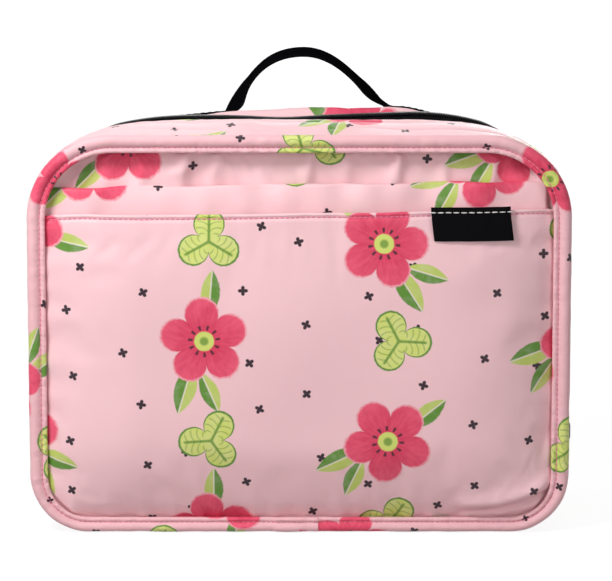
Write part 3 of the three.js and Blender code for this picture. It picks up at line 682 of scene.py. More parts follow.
def flower_leaf(t, given, x, y, leaf, wash, waver, pale):
    """Mask and colour of one pointed leaf, dark on one side of its rib."""
    centre, turn, size = leaf
    inside, across = leaf_shape(x, y, centre, turn, size, size * 0.4)
    fill = t.mix(across.inside(0.4) * 0.75, given["Leaf"], given["Lime"])
    fill = t.mix((0.35 - abs(across)).inside(0.3) * 0.6, fill, pale)
    fill = t.mix((wash - 0.45).math("MULTIPLY", 1.3, clamp=True) * 0.4, fill, pale)
    return (inside + waver * 0.4).inside(0.5), fill


def flower_print():
    """Blossoms with leaves, three-lobed leaves and small florets on a half-drop repeat."""
    tree = group("Flower print", "ShaderNodeTree", [
        ("Place", VECTOR, None), ("Repeat", FLOAT, 0.088), ("Ground", COLOUR, None),
        ("Blossom", COLOUR, None), ("Blossom shade", COLOUR, None), ("Leaf", COLOUR, None),
        ("Lime", COLOUR, None), ("Floret", COLOUR, None)], [("Color", COLOUR)])
    t = Tree(tree)
    given = t.add("NodeGroupInput").outputs
    width = t.number(given["Repeat"]) / MM
    height = width * 1.08
    u, v, _ = t.split(given["Place"])
    x, y = u / MM, v / MM
    place = t.vector(x, y)
    wash = t.noise(place, 0.16, 3.0, 0.6)
    waver = (t.noise(place, 0.55, 2.0) - 0.5) * 1.5
    pale = t.mix(0.55, given["Ground"], (1.0, 1.0, 1.0, 1.0))
    brush = (wash, waver, pale)

    flower = lattice(t, x, y, width, height, 0.0, 10.0, 3.0)
    lobed = lattice(t, x, y + width * 0.54, width, height, 0.0, 9.0, 11.0)
    radius, angle = polar(*lattice(t, x, y, 27.0, 30.0, 0.31, 13.0, 23.0))
    florets = (abs((angle * 2.0).cos()) * 1.35 + 1.0 - radius).inside(0.4)
    layers = [(florets, given["Floret"])]
    layers += [flower_leaf(t, given, *flower, leaf, *brush) for leaf in FLOWER_LEAVES]
    layers += [trefoil(t, given, *lobed, *brush), blossom(t, given, *flower, *brush)]
    colour = t.mix((wash - 0.5) * 0.16, given["Ground"], pale)
    for mask, fill in layers:
        colour = t.mix(mask, colour, fill)
    t.put(t.add("NodeGroupOutput").inputs["Color"], colour)
    return tree


def woven_threads():
    """Fine crossing threads: a height for bump, and a mask of the gaps between them that carries painted
    shade.
    """
    tree = group("Woven threads", "ShaderNodeTree", [
        ("Place", VECTOR, None), ("Pitch", FLOAT, 0.0005), ("Slant", FLOAT, 0.5),
        ("Crease", FLOAT, 0.3)], [("Height", FLOAT), ("Gap shade", FLOAT)])
    t = Tree(tree)
    given = t.add("NodeGroupInput").outputs
    pitch, slant = t.number(given["Pitch"]), t.number(given["Slant"])
    u, v, _ = t.split(given["Place"])
    a = (u / pitch) * 2 * math.pi
    b = (v / pitch) * 2 * math.pi
    threads = a.sin() * (b + a * slant).sin()
    place = t.vector(u / MM, v / MM)
    crease = t.noise(place, 0.09, 3.0, 0.6) - 0.5
    slub = t.noise(t.vector(u / MM * 0.4, v / MM * 5.0), 1.0, 1.0) - 0.5
    height = threads * 0.5 + slub * 0.6 + crease * t.number(given["Crease"]) * 14.0
    out = t.add("NodeGroupOutput").inputs
    t.put(out["Height"], height)
    # The gap mask, where the threads dip, is used for painted shade.
    t.put(out["Gap shade"], (threads * -1.0 - 0.2).inside(0.8))
    return tree


def shared(name, build):
    """The node group of that name, built on first use."""
    return bpy.data.node_groups.get(name) or build()


def new_material(name):
    material = bpy.data.materials.new(name)
    material.use_nodes = True
    t = Tree(material.node_tree)
    shader = material.node_tree.nodes["Principled BSDF"]
    return material, t, shader


def finish_shader(t, shader, **values):
    """Sets or wires a shader's sockets, with _ for the spaces in their names."""
    for key, value in values.items():
        t.put(shader.inputs[key.replace("_", " ")], value)


def object_place(t):
    return t.add("ShaderNodeTexCoord").outputs["Object"]


def cloth_place(t):
    return t.add("ShaderNodeUVMap", uv_map="UVMap").outputs[0]


def bumped(t, height, strength, distance):
    """Normal of a surface with this relief."""
    node = t.add("ShaderNodeBump", {"Height": height, "Strength": strength, "Distance": distance})
    return node.outputs[0]


def rgba(values):
    return (*values, 1.0)


def varied(t, share, colour, first, second=1.0, lift=0.0):
    """A colour that changes between two strengths of itself."""
    return t.mix(share, rgba([c * first for c in colour]), rgba([c * second + lift for c in colour]))


def printed_cloth(name, shift, turn=0.0, ground="cloth"):
    """Satin-faced printed cloth. The print is turned and moved from piece to piece."""
    known = bpy.data.materials.get(name)
    if known:
        return known
    colours = bpy.context.scene.case_colours
    material, t, shader = new_material(name)
    uv = cloth_place(t)
    place = t.add("ShaderNodeMapping", {"Vector": uv, "Location": (*shift, 0.0),
                                        "Rotation": (0.0, 0.0, turn)}).outputs[0]
    design = t.add("ShaderNodeGroup", node_tree=shared("Flower print", flower_print))
    for label, value in (("Ground", getattr(colours, ground)), ("Blossom", colours.blossom),
                         ("Blossom shade", colours.blossom_deep), ("Leaf", colours.leaf),
                         ("Lime", colours.lime), ("Floret", colours.floret)):
        design.inputs[label].default_value = rgba(value)
    design.inputs["Repeat"].default_value = bpy.context.scene.case_sizes.print_cell
    t.put(design.inputs["Place"], place)
    weave = t.add("ShaderNodeGroup", {"Place": uv, "Pitch": 0.00045, "Slant": 0.5, "Crease": 0.16},
                  node_tree=shared("Woven threads", woven_threads))
    gap = t.number(weave.outputs["Gap shade"])
    # The cloth is painted darker pink in the gaps between its threads: painted shade.
    finish_shader(t, shader, Base_Color=t.mix(gap * 0.10, design.outputs["Color"], rgba(srgb(206, 118, 130))),
                  Roughness=gap * 0.12 + 0.38, Normal=bumped(t, weave.outputs["Height"], 0.35, 0.00012),
                  Sheen_Weight=0.1, Sheen_Roughness=0.35, Specular_IOR_Level=0.25)
    return material


def side_wall_cloth():
    return printed_cloth("Side wall cloth", (0.012, 0.05))


def thread_material(name, colour):
    material, t, shader = new_material(name)
    fibre = t.noise(object_place(t), 1800.0, 2.0)
    finish_shader(t, shader, Base_Color=varied(t, fibre, colour, 0.72), Roughness=fibre * 0.2 + 0.5,
                  Normal=bumped(t, fibre, 0.4, 0.0001), Sheen_Weight=0.2)
    return material


def woven_black(name, pitch, slant, roughness, strength=0.6, gloss=0.02):
    """Black webbing, tape or label cloth with its weave, and painted shade in the gaps between its threads.
    """
    material, t, shader = new_material(name)
    weave = t.add("ShaderNodeGroup", {"Place": cloth_place(t), "Pitch": pitch, "Slant": slant,
                                      "Crease": 0.05},
                  node_tree=shared("Woven threads", woven_threads))
    gap = t.number(weave.outputs["Gap shade"])
    # The black is painted darker in the gaps between its threads: painted shade.
    finish_shader(t, shader, Base_Color=varied(t, gap * 0.8, bpy.context.scene.case_colours.black, 1.5, 0.4),
                  Roughness=gap * 0.2 + roughness, Specular_IOR_Level=gloss,
                  Normal=bumped(t, weave.outputs["Height"], strength, pitch * 0.25))
    return material


def coil_material():
    material, t, shader = new_material("Zip coil nylon")
    patches = t.noise(object_place(t), 260.0, 3.0)
    # The coil is lighter grey in random patches, and its roughness varies with them.
    tint = varied(t, patches, bpy.context.scene.case_colours.black, 0.7, 2.4, 0.004)
    finish_shader(t, shader, Base_Color=tint, Roughness=patches * 0.2 + 0.25, Specular_IOR_Level=0.18)
    return material


def slider_metal():
    material, t, shader = new_material("Slider metal")
    place = object_place(t)
    cloud = t.noise(place, 220.0, 4.0, 0.65)
    drawn = t.add("ShaderNodeMapping", {"Vector": place, "Scale": (900.0, 900.0, 60.0)}).outputs[0]
    tint = t.mix(cloud, rgba(srgb(46, 46, 50)), rgba(srgb(84, 84, 90)))
    finish_shader(t, shader, Base_Color=tint, Roughness=cloud * 0.2 + 0.22, Metallic=1.0,
                  Normal=bumped(t, t.noise(drawn, 1.0, 2.0), 0.15, 0.0001))
    return material


def lining_film():
    material, t, shader = new_material("Lining film")
    place = object_place(t)
    crumple = t.add("ShaderNodeTexVoronoi", {"Vector": place, "Scale": 55.0, "Detail": 2.0},
                    feature="SMOOTH_F1")
    soft = t.noise(place, 28.0, 4.0, 0.6)
    crease = t.number(crumple.outputs["Distance"]) * 0.5 + soft
    tint = varied(t, soft, bpy.context.scene.case_colours.lining, 0.8)
    finish_shader(t, shader, Base_Color=tint, Roughness=soft * 0.2 + 0.24, Metallic=0.55,
                  Normal=bumped(t, crease, 0.35, 0.002))
    return material


def gel_pouch():
    material, t, shader = new_material("Gel pouch")
    place = object_place(t)
    cloud = t.noise(place, 60.0, 4.0, 0.6)
    relief = cloud * 0.8 + t.noise(place, 420.0, 2.0) * 0.1
    tint = varied(t, cloud, bpy.context.scene.case_colours.pack, 0.78)
    finish_shader(t, shader, Base_Color=tint, Roughness=cloud * 0.18 + 0.16,
                  Normal=bumped(t, relief, 0.3, 0.002), Specular_IOR_Level=0.5)
    return material


def net_material():
    material, t, shader = new_material("Sleeve net")
    fibre = t.noise(object_place(t), 1500.0, 2.0)
    tint = varied(t, fibre, bpy.context.scene.case_colours.net, 0.75)
    finish_shader(t, shader, Base_Color=tint, Roughness=fibre * 0.2 + 0.55, Sheen_Weight=0.1)
    return material


# Geometry node trees


def tree_inputs(modifier, **values):
    """Sets a node modifier's inputs, found by their names, through their identifiers."""
    for item in modifier.node_group.interface.items_tree:
        if item.item_type == "SOCKET" and item.in_out == "INPUT" and item.name in values:
            modifier[item.identifier] = values[item.name]


def along_path(t, given):
    """Points at even steps along the lines of a mesh, with the direction of each."""
    curve = t.add("GeometryNodeMeshToCurve", {"Mesh": given["Geometry"]})
    return t.add("GeometryNodeCurveToPoints", {"Curve": curve.outputs[0],
                                               "Length": given["Pitch"]}, mode="LENGTH")


def realised(t, points, shape, rotation, given):
    """Ends a tree: a shape on each point, as real faces with the tree's material."""
    laid = t.add("GeometryNodeInstanceOnPoints", {
        "Points": points, "Instance": shape, "Rotation": rotation})
    real = t.add("GeometryNodeRealizeInstances", {0: laid.outputs[0]})
    soft = t.add("GeometryNodeSetShadeSmooth", {0: real.outputs[0]})
    made = t.add("GeometryNodeSetMaterial", {"Geometry": soft.outputs[0],
                                             "Material": given["Material"]})
    t.put(t.add("NodeGroupOutput").inputs[0], made.outputs[0])


def stitch_tree():
    """Stitches laid end to end along lines: small rounded lengths of thread."""
    tree = group("Stitches", "GeometryNodeTree", [
        ("Geometry", GEOMETRY, None), ("Pitch", FLOAT, 0.0024), ("Stitch", FLOAT, 0.002),
        ("Thread", FLOAT, 0.0006), ("Material", MATERIAL, None)], [("Geometry", GEOMETRY)])
    t = Tree(tree)
    given = t.add("NodeGroupInput").outputs
    path = along_path(t, given)
    bead = t.add("GeometryNodeMeshUVSphere", {"Segments": 6, "Rings": 5, "Radius": 0.5})
    size = t.vector(given["Thread"], given["Thread"], given["Stitch"])
    shape = t.add("GeometryNodeTransform", {"Geometry": bead.outputs[0], "Scale": size})
    realised(t, path.outputs["Points"], shape.outputs[0], path.outputs["Rotation"], given)
    return tree


def coil_tree():
    """One row of a zip's coil: slanted turns that reach across the middle of the run."""
    tree = group("Zip coil", "GeometryNodeTree", [
        ("Geometry", GEOMETRY, None), ("Pitch", FLOAT, 0.0019), ("Reach", FLOAT, 0.004),
        ("Height", FLOAT, 0.0022), ("Slant", FLOAT, 0.3), ("Material", MATERIAL, None)],
        [("Geometry", GEOMETRY)])
    t = Tree(tree)
    given = t.add("NodeGroupInput").outputs
    path = along_path(t, given)
    along = t.add("FunctionNodeAlignRotationToVector", {"Vector": path.outputs["Tangent"]},
                  axis="Z")
    level = t.add("FunctionNodeAlignRotationToVector", {
        "Rotation": along.outputs[0], "Vector": (0.0, 1.0, 0.0)}, axis="Y", pivot_axis="Z")
    bead = t.add("GeometryNodeMeshUVSphere", {"Segments": 8, "Rings": 6, "Radius": 0.5})
    turn_length = t.number(given["Pitch"]) * 0.92
    size = t.vector(given["Height"], given["Reach"], turn_length)
    slant = t.vector(given["Slant"], 0.0, 0.0)
    shape = t.add("GeometryNodeTransform", {"Geometry": bead.outputs[0], "Scale": size})
    turned = t.add("GeometryNodeTransform", {"Geometry": shape.outputs[0], "Rotation": slant})
    realised(t, path.outputs["Points"], turned.outputs[0], level.outputs[0], given)
    return tree


def laid_along(name, lines, build, tree_name, **values):
    """Runs a path tree along lines of points, and gives back its result as a plain mesh."""
    points, edges = [], []
    for line in lines:
        first = len(points)
        points += (np.asarray(line) * MM).tolist()
        edges += [(i, i + 1) for i in range(first, len(points) - 1)]
    mesh = bpy.data.meshes.new(name + "_line")
    mesh.from_pydata(points, edges, [])
    guide = placed(name + "_line", mesh)
    modifier = guide.modifiers.new("Path", "NODES")
    modifier.node_group = shared(tree_name, build)
    tree_inputs(modifier, **values)
    depsgraph = bpy.context.evaluated_depsgraph_get()
    made = bpy.data.meshes.new_from_object(guide.evaluated_get(depsgraph))
    bpy.data.objects.remove(guide)
    if not made.polygons:
        raise RuntimeError(f"{name} came out empty")
    made.name = name
    return placed(name, made)


def sewn(name, lines, material, pitch=1.0):
    """Stitches along lines, at a share of the usual pitch."""
    sizes = bpy.context.scene.case_sizes
    return laid_along(name, lines, stitch_tree, "Stitches", Pitch=sizes.stitch_pitch * pitch,
                      Stitch=sizes.stitch_length * pitch, Thread=sizes.stitch_thickness,
                      Material=material)


# Pieces


def smooth_loop(points, count):
    """Evenly spaced points on a rounded closed line through control points."""
    control = np.array(points, float)
    n = len(control)
    dense = []
    for i in range(n):
        p0, p1, p2, p3 = (control[(i + k) % n] for k in (-1, 0, 1, 2))
        for t in np.linspace(0, 1, 24, endpoint=False):
            dense.append(0.5 * (2 * p1 + (p2 - p0) * t + (2 * p0 - 5 * p1 + 4 * p2 - p3) * t**2
                                + (3 * p1 - p0 - 3 * p2 + p3) * t**3))
    dense = np.array(dense + [dense[0]])
    reach = reach_along(dense)
    even = np.linspace(0, reach[-1], count, endpoint=False)
    return np.stack([np.interp(even, reach, dense[:, k]) for k in (0, 1)], -1), even


# Profile of the bound edge: distance out, and distance from the plane of the zip.
BINDING_PROFILE = [
    (-0.2, 40.0), (-1.0, 41.5), (-2.6, 42.25), (-4.2, 42.0), (-5.3, 41.2), (-6.0, 40.35),
    (-6.7, 41.0), (-7.6, 41.25), (-8.5, 40.6), (-8.5, 39.0), (-7.4, 38.0), (-4.4, 37.8),
    (-1.4, 37.8), (-0.2, 38.7)]
STITCH_LINE, STITCH_FACE = -6.0, 40.35


def binding_points(side, s, profile):
    """The bound edge with its puckers, and on the front its lapped end."""
    out, deep = profile[None, :, 0], profile[None, :, 1]
    s = s[:, None]
    front = smooth((deep - 39.6) / 1.6)
    crown = groove(out + 2.6, 2.4) * front
    lip = groove(out + 7.9, 1.0) * front
    seed = 5 if side < 0 else 9
    along = ripples(s, 0 * s, seed, 16)
    pucker = ripples(s, 0 * s, seed + 1, 6.5)
    x, _, _, out_z = rim(s)
    bend = 1 - np.abs(np.abs(np.abs(out_z) - 0.5) * 2)
    pitch = bpy.context.scene.case_sizes.stitch_pitch / MM
    dimple = np.cos(2 * math.pi * s / pitch) * front
    relief = crown * (0.22 * along + 0.12 * pucker) + lip * (0.28 * pucker + 0.2 * along)
    relief = relief * (1 + 0.7 * bend) + dimple * (0.16 * lip + 0.12 * groove(out + 5.0, 0.8))
    out = out * (1 - BASE_LIP / BINDING_WIDTH * smooth(-out_z)) + 0.14 * along * groove(out, 2.2)
    if side < 0:
        lap = smooth((x - LAP_START) / LAP_EDGE + 0.5) * smooth((LAP_END - x) / LAP_EDGE + 0.5)
        relief = relief + LAP_STEP * lap * (out_z < -0.9) * front
    return offset(s, side * (deep + relief), np.minimum(out, 0.0))


def binding(half, side):
    """One shell's bound edge, with the print of its cloth cut on the bias."""
    profile, across = smooth_loop(BINDING_PROFILE, 30)
    s = np.linspace(0, RIM_LENGTH, 1280, endpoint=False)
    if side < 0:
        steps = np.linspace(-LAP_EDGE, LAP_EDGE, 5)
        extra = [end + step for end in (LAP_START, LAP_END) for step in steps]
        s = np.unique(np.concatenate([s, np.mod(extra, RIM_LENGTH)]))
    points = binding_points(side, s, profile)
    x, _, _, out_z = rim(s)
    lapped = (out_z < -0.9) & (x > LAP_START) & (x < LAP_END) & (side < 0)
    u = np.append(s, RIM_LENGTH) + np.append(lapped, False) * 37.0
    v = np.append(across, across[-1] + across[1])
    piece = mesh_piece(half + "_bound_edge", points, (u[:, None], v[None, :]), (True, True),
                       flip=side > 0)
    # The binding's ground carries painted shade: it is a deeper copy of the cloth's colour.
    dress(piece, printed_cloth("Bias binding cloth in painted shade", (0.021, 0.034), math.radians(45), "binding"),
          half + "_half", "print_cloth", half + "_binding")


def binding_stitch_line(side):
    s = np.linspace(0, RIM_LENGTH, 420)
    points = binding_points(side, s, np.array([[STITCH_LINE, STITCH_FACE]]))[:, 0]
    points[:, 1] += side * 0.15
    return points


class CASE_OT_bindings(bpy.types.Operator):
    """Bound edges of both shells, the front one with its lapped end"""

    bl_idname = "case.bindings"
    bl_label = "Bound edges"

    def execute(self, context):
        for half, side in HALVES:
            binding(half, side)
        return {"FINISHED"}


# Distances from the zip's edge at which the side wall is drawn
GUSSET_ROWS = np.array([0.0, 0.45, 0.9, 1.3, 1.7, 2.2, 2.9, 3.7, 4.6, 5.4, 6.0, 6.4, 6.8, 7.4, 8.4,
                        10.0, 12.0, 13.8, 15.0, 15.6, 16.0, 16.4, 17.0, 18.2, 20.0, 22.5, 25.0, 27.0,
                        28.8, 30.5])
STITCH_ROWS = (1.5, 6.4, 16.0)


def gusset_edge(s):
    """Distance of the side wall's inner edge from the plane of the zip."""
    away = np.minimum(np.abs(s - ZIP_START), np.abs(s - ZIP_STOP))
    in_zip = (s > ZIP_START) & (s < ZIP_STOP)
    share = np.where(in_zip, smooth(away / 3 + 0.5), 1 - smooth(away / 3 + 0.5))
    return HINGE_EDGE + (ZIP_EDGE - HINGE_EDGE) * share


def gusset_points(side, s, gap):
    """The side wall's outer face at a distance from its inner edge."""
    edge = gusset_edge(s)
    span = SEAM - edge
    y = edge + gap / GUSSET_ROWS[-1] * span
    x, _, _, out_z = rim(s)
    seed = 21 if side < 0 else 31
    in_zip = smooth((s - ZIP_START) / 4) * smooth((ZIP_STOP - s) / 4)
    relief = -0.42 * in_zip * sum(groove(gap - row, 0.6) for row in STITCH_ROWS)
    relief = relief + 0.35 * in_zip * (groove(gap - 3.9, 1.6) + groove(gap - 11.2, 3.4))
    relief = relief + 0.16 * ripples(s, gap, seed, 8) * groove(gap - 3.0, 5.0)
    relief = relief + 0.5 * ripples(s, gap * 0.6, seed + 1, 34) * smooth(gap / 8) * smooth((30 - gap) / 8)
    seam = GUSSET_ROWS[-1] - gap
    relief = relief + 0.55 * (gathers(s, seed + 2, 17) - 0.4) * np.exp(-seam / 5) * smooth(seam / 2)
    relief = relief - 0.8 * in_zip * np.exp(-gap / 2.6)
    relief = relief - 0.5 * groove(s - ZIP_START, 1.2) - 0.5 * groove(s - ZIP_STOP, 1.2)
    base = smooth((-out_z - 0.2) / 0.5)
    relief = relief * (1 - base) + (np.minimum(relief, 0) * 0.5 - 1.1 * np.exp(-gap / 7)) * base
    points = offset(s, side * y, swell(s, y) + relief)
    if side > 0:
        points[..., 2] += pull_up(x, y) * np.maximum(0, out_z)
    return points


def gusset(half, side):
    """One shell's side wall, with its cloth turned in along its inner edge."""
    s = np.linspace(0, RIM_LENGTH, 360, endpoint=False)[:, None]
    gap = GUSSET_ROWS[None, :]
    face = gusset_points(side, s, gap)
    out_x, out_z = rim(s)[2:]
    turned = []
    for inward, down in ((1.0, 1.5), (0.15, 1.05), (-0.12, 0.45)):
        row = gusset_points(side, s, 0 * s)
        row[..., 0] -= out_x * down
        row[..., 2] -= out_z * down
        row[..., 1] += side * inward
        turned.append(row)
    points = np.concatenate([*turned, face], axis=1)
    across = lengths(points, 1)
    u = np.append(s[:, 0], RIM_LENGTH)
    piece = mesh_piece(half + "_side_wall", points, (u[:, None], across[None, :]), (True, False),
                       flip=side < 0)
    thicken(piece, WALL_CLOTH)
    dress(piece, side_wall_cloth(), half + "_half", "print_cloth", half + "_gusset",
          half + "_base_gusset", half + "_gusset_foam")


def gusset_stitch_lines(side):
    """Rows of stitching along the zip, and a seam across the wall at each end of it."""
    runs = []
    along = np.linspace(ZIP_START + 2, ZIP_STOP - 2, 300)
    for row in STITCH_ROWS:
        runs.append((along, np.full_like(along, row), 0.42))
    down = np.linspace(1.0, 29, 14)
    for at in (ZIP_START, ZIP_STOP):
        runs.append((np.full_like(down, at), down, 0.14))
    lines = []
    for s, gap, lift in runs:
        out_x, out_z = rim(s)[2:]
        lines.append(gusset_points(side, s, gap) + lift * np.stack([out_x, 0 * s, out_z], -1))
    return lines


class CASE_OT_side_walls(bpy.types.Operator):
    """Padded side walls of both shells, turned in along the zip"""

    bl_idname = "case.side_walls"
    bl_label = "Side walls"

    def execute(self, context):
        for half, side in HALVES:
            gusset(half, side)
        return {"FINISHED"}


def front_panel_face(x, z):
    """Distance of the front panel from the plane of the zip, with folds below its top seam."""
    top = np.maximum(0, HEIGHT - BINDING_WIDTH - z)
    long_folds = 6.4 * (gathers(x + 0.15 * top, 41, 17, 0.2) - 0.3)
    folds = long_folds * np.exp(-top / 24) * smooth(top / 3 + 0.2)
    folds = folds + 2.2 * (gathers(x - 0.4 * top, 45, 9, 0.25) - 0.4) * np.exp(-top / 9)
    folds = np.minimum(folds, 4.4 - 1.2 * np.exp(-(folds / 4) ** 2))
    sides = 0.8 * gathers(z, 43, 17) * np.exp(-(WIDTH / 2 - BINDING_WIDTH - np.abs(x)) / 9)
    return FRONT_FACE - 0.4 + folds + 0.35 * ripples(x, z, 44, 40) + sides * smooth(top / 4)


def back_panel_face(x, z):
    """Distance of the padded back from the plane of the zip."""
    face = SEAM + 1.2 * seam_rise(x, z, False) + BACK_CROWN * pillow(x, z)
    depth = bpy.context.scene.case_sizes.gather_depth / MM
    face = face + seam_gathers(x, z, 51, depth * 0.8, False)
    return face + pillow(x, z) * 0.4 * ripples(x, z, 53, 75)


class CASE_OT_panels(bpy.types.Operator):
    """Front panel behind the pockets, and padded back panel"""

    bl_idname = "case.panels"
    bl_label = "Panels"

    def execute(self, context):
        x, z = panel_places(row_heights(HEIGHT, 2.6), PANEL_COLUMNS)
        for (half, side), face, shift, fill, *cloth in (
                (HALVES[0], front_panel_face, (0.031, 0.004), 0.35, 0.2, 0.008, 1.4),
                (HALVES[1], back_panel_face, (0.008, 0.022), 0.55, 1.5, 0.005, 2.2)):
            points = np.stack([x, side * face(x, z), z], -1)
            points = settled(relaxed(points, held_cloth(x, z), *cloth))
            piece = mesh_piece(half + "_panel_cloth", points, (one_more(x) * -side, one_more(z)),
                               flip=side < 0)
            thicken(piece, PANEL_CLOTH, even=False)
            refine(piece)
            dress(piece, printed_cloth(half.title() + " panel cloth", shift), half + "_half",
                  "print_cloth", half + "_panel", half + "_panel_foam")
        return {"FINISHED"}


# Distances below a pocket's edge at which its hem is drawn
HEM_FINE = (7.0, 6.0, 5.2, 4.4, 3.7, 3.1, 2.6, 2.2, 1.8, 1.4, 1.0)


def corner_tuck(x, z):
    """A slack fold that hangs over the seam in the lower right corner."""
    across = z - 12.6 - 0.0068 * (x - 80) ** 2
    reach = smooth((x - 70) / 16) * smooth((121 - x) / 8)
    ridge = np.where(across > 0.8, groove(across - 0.8, 5.0), groove(across - 0.8, 1.5))
    return reach * (3.4 * ridge - 3.0 * groove(across + 2.5, 1.5))


def hem_edge(u):
    """The short pocket's edge across its width: it slopes and falls at its ends."""
    return POCKET_SLOPE / 2 * u + 0.3 * ripples(u * 116, 0 * u, 77, 60) - HEM_DIP * np.abs(u) ** 12


def tall_edge(u):
    """The tall pocket's edge across its width."""
    return POCKET_SLOPE / 2 * u + 0.6 * ripples(u * 116, 0 * u, 75, 55) - 1.4 * np.abs(u) ** 16


def hem_height(x):
    return SHORT_TOP + hem_edge(x / PANEL_HALF)


def short_face(x, z):
    """Distance of the short pocket from the plane of the zip: full, and gathered at its seams."""
    depth = bpy.context.scene.case_sizes.gather_depth / MM
    full = pocket_fill(x, z)
    below = hem_height(x) - z
    face = SHORT_FACE + 1.6 * seam_rise(x, z, True) + (2 * POCKET_SPACE - 1.6) * full
    face = face + POCKET_BELLY * full * (1 - np.exp(-np.maximum(0, below) / 26))
    face = face + seam_gathers(x, z, 61, depth, True) + corner_tuck(x, z)
    face = face + full * 0.5 * ripples(x, z, 63, 80) * smooth(below / 40)
    hem = np.exp(-np.maximum(0, below - 2) / 7)
    face = face + hem * (0.3 * ripples(x, 0 * x, 66, 9) + 0.5 * ripples(x, 0 * x, 67, 38))
    return face - 0.5 * groove(below - HEM_STITCH, 0.9) + 0.35 * groove(below - 0.9, 0.8)


def tall_face(x, z):
    """Distance of the tall pocket from the plane of the zip, slack along its edge."""
    full = pocket_fill(x, z)
    below = TALL_TOP + tall_edge(x / PANEL_HALF) - z
    face = TALL_FACE + POCKET_SPACE * full
    face = face - TALL_LEAN * full * np.exp(-np.maximum(0, below) / 7)
    slack = np.exp(-np.maximum(0, below) / 14) * smooth((116 - np.abs(x)) / 10)
    face = face + slack * (1.6 * ripples(x, 0.3 * z, 72, 60) + 1.6 * ripples(x, 0.5 * z, 73, 24))
    drawn_in = smooth((x - END_CREASE) / 1.2) * smooth((z - SHORT_TOP + 6) / 8)
    return face - 2.8 * drawn_in


def pocket(name, top, face, edge, turn, cloth):
    """A slip pocket's cloth, turned over along its open top edge."""
    heights = row_heights(top, 2.5, HEM_FINE)
    x, z = panel_places(heights, PANEL_COLUMNS, edge)
    points = np.stack([x, -face(x, z), z], -1)
    points = relaxed(points, held_cloth(x, z, z[-1]), *cloth)
    over = []
    for angle in np.radians((30, 60, 90, 120, 150, 180)):
        over.append(points[-1] + np.stack([0 * x[-1], 0 * x[-1] + turn * (1 - math.cos(angle)),
                                           0 * x[-1] + turn * math.sin(angle)], -1))
    for fall in (2.0, 4.5, 7.0):
        over.append(over[5] - np.array([0.0, -0.06 * fall, fall]))
    points = np.concatenate([points, np.stack(over)])
    u = np.broadcast_to(x[-1], (len(over), x.shape[1]))
    run = np.linalg.norm(np.diff(points[-len(over) - 1:], axis=0), axis=-1).cumsum(0)
    u, v = np.concatenate([x, u]), np.concatenate([z, z[-1] + run])
    return mesh_piece(name, points, (one_more(u), one_more(v)), flip=True)


class CASE_OT_pockets(bpy.types.Operator):
    """Tall and short slip pockets on the front"""

    bl_idname = "case.pockets"
    bl_label = "Front pockets"

    def execute(self, context):
        for name, node, top, face, edge, turn, shift, *cloth in (
                ("tall_pocket_cloth", "tall_pocket", TALL_TOP, tall_face, tall_edge, TALL_TURN,
                 (0.047, 0.013), 0.3, 0.003, 0.8),
                ("short_pocket_cloth", "short_pocket", SHORT_TOP, short_face, hem_edge, HEM_TURN,
                 (0.0, 0.0), 0.8, 0.004, 1.3)):
            piece = pocket(name, top, face, edge, turn, cloth)
            thicken(piece, POCKET_CLOTH, even=False)
            refine(piece)
            dress(piece, printed_cloth(name.replace("_", " ").capitalize(), shift),
                  "front_half", "print_cloth", node)
        return {"FINISHED"}


class CASE_OT_hinge_strip(bpy.types.Operator):
    """Strip of cloth under the base that the two shells fold about"""

    bl_idname = "case.hinge_strip"
    bl_label = "Hinge strip"

    def execute(self, context):
        s = np.linspace(ZIP_STOP + 0.3, ZIP_START + RIM_LENGTH - 0.3, 150)[:, None]
        y = np.linspace(-HINGE_EDGE, HINGE_EDGE, 13)[None, :]
        points = offset(s, y, swell(s, 0 * y) - 0.05 - 0.25 * groove(np.abs(y) - 3.4, 0.5))
        piece = mesh_piece("hinge_cloth", points, (np.append(s, s[-1] + 1)[:, None],
                                                   np.append(y, 5)[None, :]), flip=True)
        thicken(piece, PANEL_CLOTH)
        dress(piece, side_wall_cloth(), None, "print_cloth", "hinge_strip")
        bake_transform(piece)
        return {"FINISHED"}


# Lining: distance from the plane of the zip, and depth in the wall
LINING_RISE = [(9.0, 2.45), (10.5, 2.5), (12.0, 2.6), (13.2, 4.4), (14.6, 5.8), (16.0, 6.0), (20.0, 6.05)]
LINING_DEPTH, LINING_ROUND, LINING_SPINE = 6.1, 2.2, 45
LINING_RINGS = (0.06, 0.14, 0.26, 0.4, 0.56, 0.72, 0.86)  # shares of the way to the middle


def lining_points(side, s, floor):
    """Rings of the film: up the wall, round its corner and in over the floor."""
    rings = []
    corner = floor - LINING_ROUND
    rise = LINING_RISE + [(y, LINING_DEPTH) for y in np.linspace(22.5, corner, 4)]
    for y, depth in rise:
        ripple = 0.3 * ripples(s, y + 0 * s, 81, 30) * smooth((y - 15) / 5)
        rings.append(offset(s, side * y, swell(s, y) - depth - np.abs(ripple)))
    for turn in np.radians((30, 60, 90)):
        y = corner + LINING_ROUND * math.sin(turn)
        inner = LINING_ROUND * (1 - math.cos(turn))
        rings.append(offset(s, side * y, swell(s, corner) - LINING_DEPTH - inner))
    last = rings[-1]
    spine = np.stack([np.clip(last[:, 0], -LINING_SPINE, LINING_SPINE), last[:, 1],
                      np.full_like(s, HEIGHT / 2)], -1)
    for share in LINING_RINGS:
        ring = last + (spine - last) * share
        wave = 0.35 * ripples(ring[:, 0], ring[:, 2], 83, 46) * smooth(share * 5)
        ring[:, 1] -= side * np.abs(wave)
        rings.append(ring)
    return np.stack(rings, 1)


